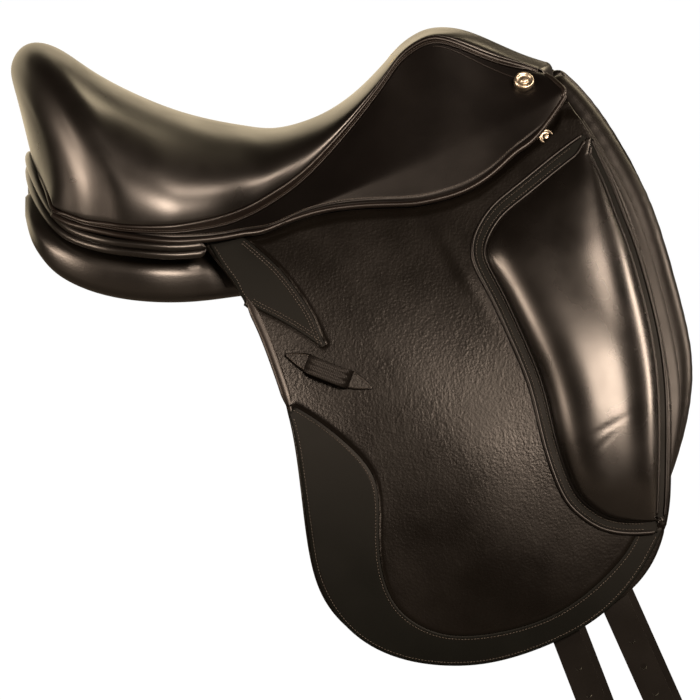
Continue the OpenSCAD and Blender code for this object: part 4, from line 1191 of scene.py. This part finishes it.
# %% Straps
def strap_mesh(foot, lean, rows_up=40):
    """A whole strap, its bend and the direction in which it hangs."""
    c, s = math.cos(math.radians(lean)), math.sin(math.radians(lean))
    down, over = np.array([s, -c]), np.array([c, s])
    foot = np.array(foot, float)
    level = float(barrel(foot[0], foot[1])) + strap_lo + strap_t
    flat = foot + plan_points[:, :1] * over + plan_points[:, 1:] * down
    hanging = np.stack([flat[:, 0], np.full(len(flat), level), flat[:, 1]], -1)
    join = np.where(np.abs(plan_points[:, 1]) < close)[0]
    join = join[np.argsort(plan_points[join, 0])]
    share = np.linspace(0, 1, rows_up)[1:]
    rise = share[:, None, None] * (strap_top - foot[1]) / c
    upper = on_barrel(foot - rise * down + plan_points[join, 0][None, :, None] * over, strap_lo + strap_t)
    ease = ramp(share, 0, 0.15)[:, None]
    upper[..., 1] = upper[..., 1] * ease + level * (1 - ease)
    new = len(flat) + np.arange(len(share) * len(join)).reshape(-1, len(join))
    rows = np.concatenate([join[None], new])
    cells = [tuple(rows.flat[k] for k in f) for f in turned(quads(*rows.shape))]
    points = np.concatenate([hanging, upper.reshape(-1, 3)])
    size, top = len(points), []
    for f in plan_faces + cells:
        x, z = points[list(f), 0], points[list(f), 2]
        outward = np.sum(z * np.roll(x, -1) - x * np.roll(z, -1)) > 0
        top.append(tuple(int(k) for k in (f if outward else f[::-1])))
    edges = {(a, b) for f in top for a, b in zip(f, f[1:] + f[:1])}
    walls = [(b, a, a + size, b + size) for a, b in sorted(edges) if (b, a) not in edges]
    faces = top + [tuple(k + size for k in f[::-1]) for f in top] + walls
    points = np.concatenate([points, points - [0, strap_t, 0]])
    return points, faces, np.array([foot[0], level - strap_t / 2, foot[1]]), np.array([down[0], 0, down[1]])


for place, (foot, lean) in feet.items():
    points, faces, bend_at, down = strap_mesh(foot, lean)
    for name, s in SIDES.items():
        strap = make_object(f"girth_strap_{place}_{name}", points, faces, strap_leather, s)
        strap.data.set_sharp_from_angle(angle=math.radians(40))
        flip = np.array([1, s, 1]) * MM
        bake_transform(strap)
        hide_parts(f"billet_{place}_{name}", f"tail_{place}_{name}")
print("strap:", len(points), "points")

# %% [markdown]
# ## Studs
# The studs are turned brass, nickel-plated: a rolled rim, a hollow and a low button in the middle. A Screw
# modifier could spin the profile about an axis of the scene; here the CAD stud gives place and direction,
# so the profile is spun about that.

# %% Spin a stud over each CAD stud
profile = [(0, 4.6), (1.6, 4.5), (2.8, 4.0), (3.3, 3.3), (4.0, 3.0), (5.2, 3.2), (6.2, 3.9), (7.2, 4.3),
           (8.2, 3.9), (8.9, 2.6), (9.0, 1.0), (8.8, 0.0), (8.6, -3.0)]


def stud_at(points, scale, sunk, rows=40, cols=64):
    """The profile spun about a CAD stud's thin direction, with its foot sunk into the hide."""
    centre = points.mean(0)
    _, _, axes = np.linalg.svd(points - centre)
    n = axes[2] if axes[2][1] * np.sign(centre[1]) > 0 else -axes[2]
    a = np.linspace(0, 2 * math.pi, cols, endpoint=False)[None, :, None]
    e1 = unit(np.cross(n, [0, 0, 1.0]))
    e2 = np.cross(n, e1)
    foot = centre + n * (((points - centre) @ n).min() - sunk)
    curve = spline(profile, np.linspace(0, 1, rows))[:, None] * scale
    ring = foot + curve[..., :1] * (np.cos(a) * e1 + np.sin(a) * e2) + curve[..., 1:] * n
    return ring.reshape(-1, 3), turned(quads(rows, cols, closed=True))


for node, scale, sunk in (("head_studs", 1.0, 3.0), ("flap_studs", 0.8, 1.0)):
    points = np.array([v.co for v in frame["nodes"][node].data.vertices]) / MM
    both = together(*[stud_at(points[points[:, 1] * s > 0], scale, sunk) for s in (1, -1)])
    stud = make_object(node + "_nickel", *both, nickel)
    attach(stud, "frame")
    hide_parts(node)
    print(node + ":", round(2 * scale * max(r for r, _ in profile), 1), "mm across")

# %% [markdown]
# ## What lies inside
# Tree, steel, webs and stirrup bars are made to drawings, as the solids are, and hardly show. They could be
# built finer, but nobody would see it, so they keep their solids and only get a finish.

# %% Finishes of the kept solids
kept = {
    beech: ["tree", "cantle_board"], sprung: ["head_plate", "spring_strips"], jute: ["seat_webs"],
    lining_leather: ["gullet_lining"], forged: ["bar_rivets"]}
for name in SIDES:
    kept[forged] += [n + name for n in ("stirrup_bar_", "bar_catch_", "catch_pin_")]
    kept[jute] += ["girth_web_" + name]
    kept[strap_leather] = kept.get(strap_leather, []) + ["point_pocket_" + name]
for finish, names in kept.items():
    for n in names:
        mesh = frame["nodes"][n].data
        mesh.materials.clear()
        mesh.materials.append(finish)
print("kept solids:", sum(len(v) for v in kept.values()))

# %% [markdown]
# ## Stage, light and camera
# Black leather shows little of its own colour: its form is read from the lamps it mirrors, so each lamp
# stands where one surface reflects it. Three pale panels behind are the wall that the seat's top mirrors;
# they leave a gap to the right, so that the pommel stays dark. Softboxes at the rear, the side and above
# give seat, panel, flap and thigh block their highlights, and a strip in front lights the front roll.
# The floor is white to camera and transmission rays only. A white floor in the reflections would turn
# black leather grey.

# %% Floor and world
low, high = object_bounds()
floor_gap = 0.004
bpy.ops.mesh.primitive_plane_add(size=60, location=(0, 0, low.z - floor_gap))
floor = bpy.context.object
floor.name = "floor"
paper, tree = blank("White paper floor")
path = add(tree, "ShaderNodeLightPath")
seen = add(tree, "ShaderNodeMath", {0: path.outputs["Is Camera Ray"], 1: path.outputs["Is Transmission Ray"]},
           operation="ADD")
matt = add(tree, "ShaderNodeBsdfDiffuse", {"Color": linear("#6d6a66")})
bright = add(tree, "ShaderNodeEmission", {"Color": linear("#ffffff"), "Strength": 1.12})
veil = add(tree, "ShaderNodeMath", {0: seen.outputs[0], 1: 0.9}, operation="MULTIPLY")
mixed = add(tree, "ShaderNodeMixShader", {0: veil.outputs[0], 1: matt.outputs[0], 2: bright.outputs[0]})
add(tree, "ShaderNodeOutputMaterial", {"Surface": mixed.outputs[0]})
floor.data.materials.append(paper)
print("floor at", round(floor.location.z, 4), "m")

world = bpy.context.scene.world or bpy.data.worlds.new("World")
bpy.context.scene.world = world
world.use_nodes = True
tree = world.node_tree
tree.nodes.clear()
path = add(tree, "ShaderNodeLightPath")
white = add(tree, "ShaderNodeBackground", {"Color": linear("#ffffff"), "Strength": 1.0})
room = add(tree, "ShaderNodeBackground", {"Color": linear("#b8ab9a"), "Strength": 0.06})
mixed = add(tree, "ShaderNodeMixShader", {
    0: path.outputs["Is Camera Ray"], 1: room.outputs[0], 2: white.outputs[0]})
add(tree, "ShaderNodeOutputWorld", {"Surface": mixed.outputs[0]})


# %% Lamps and camera
def lamp(name, place, target, wide, tall, watts, colour):
    """A soft rectangular lamp, unseen by the camera, that faces its target."""
    light = bpy.data.lights.new(name, "AREA")
    light.shape, light.size, light.size_y = "RECTANGLE", wide, tall
    light.energy, light.color = watts, linear(colour)[:3]
    piece = bpy.data.objects.new(name, light)
    bpy.context.scene.collection.objects.link(piece)
    piece.location = place
    piece.visible_camera = False
    piece.rotation_euler = (Vector(target) - Vector(place)).to_track_quat("-Z", "Y").to_euler()


aim = (0.06, 0, -0.1)
wall_light, rear_light, side_light = "#f0dcb8", "#ffe2c8", "#ffe4cc"
lamp("pale_wall_behind", (-2.85, 3.4, 1.2), (-2.85, 0, 1.2), 6.3, 3.6, 140, wall_light)
lamp("pale_wall_step", (0.48, 3.4, 1.9), (0.48, 0, 1.9), 0.36, 2.3, 7, wall_light)
lamp("pale_wall_high", (3.25, 3.4, 3.2), (3.25, 0, 3.2), 2.7, 2.4, 170, wall_light)
lamp("rear_softbox", (-2.13, -1.79, 1.02), aim, 0.8, 1.0, 38, rear_light)
lamp("rear_low_strip", (-2.95, -1.62, 0.48), (-0.15, -0.13, 0.04), 1.6, 0.5, 85, rear_light)
lamp("side_softbox", (1.75, -3.95, 1.7), aim, 2.0, 1.0, 340, side_light)
lamp("side_high_box", (1.96, -1.73, 2.37), (-0.09, -0.13, 0.03), 1.0, 0.5, 55, side_light)
lamp("front_strip", (2.8, 0.3, 0.7), aim, 0.5, 1.4, 80, side_light)

lens = bpy.data.cameras.new("camera")
lens.sensor_width, lens.lens = 36.0, 451.4
camera = bpy.data.objects.new("camera", lens)
bpy.context.scene.collection.objects.link(camera)
camera.location = (-0.0221, -7.7082, 0.7537)
sight = Vector((0.0586, 0, -0.1276)) - camera.location
camera.rotation_euler = sight.to_track_quat("-Z", "Y").to_euler()
camera.rotation_euler.rotate_axis("Z", math.radians(-1.03))
bpy.context.scene.camera = camera
bpy.context.scene.view_settings.view_transform = "Standard"
lit = sum(o.type == "LIGHT" for o in bpy.context.scene.objects)
print("lamps:", lit, "camera:", round(sight.length, 2), "m away")
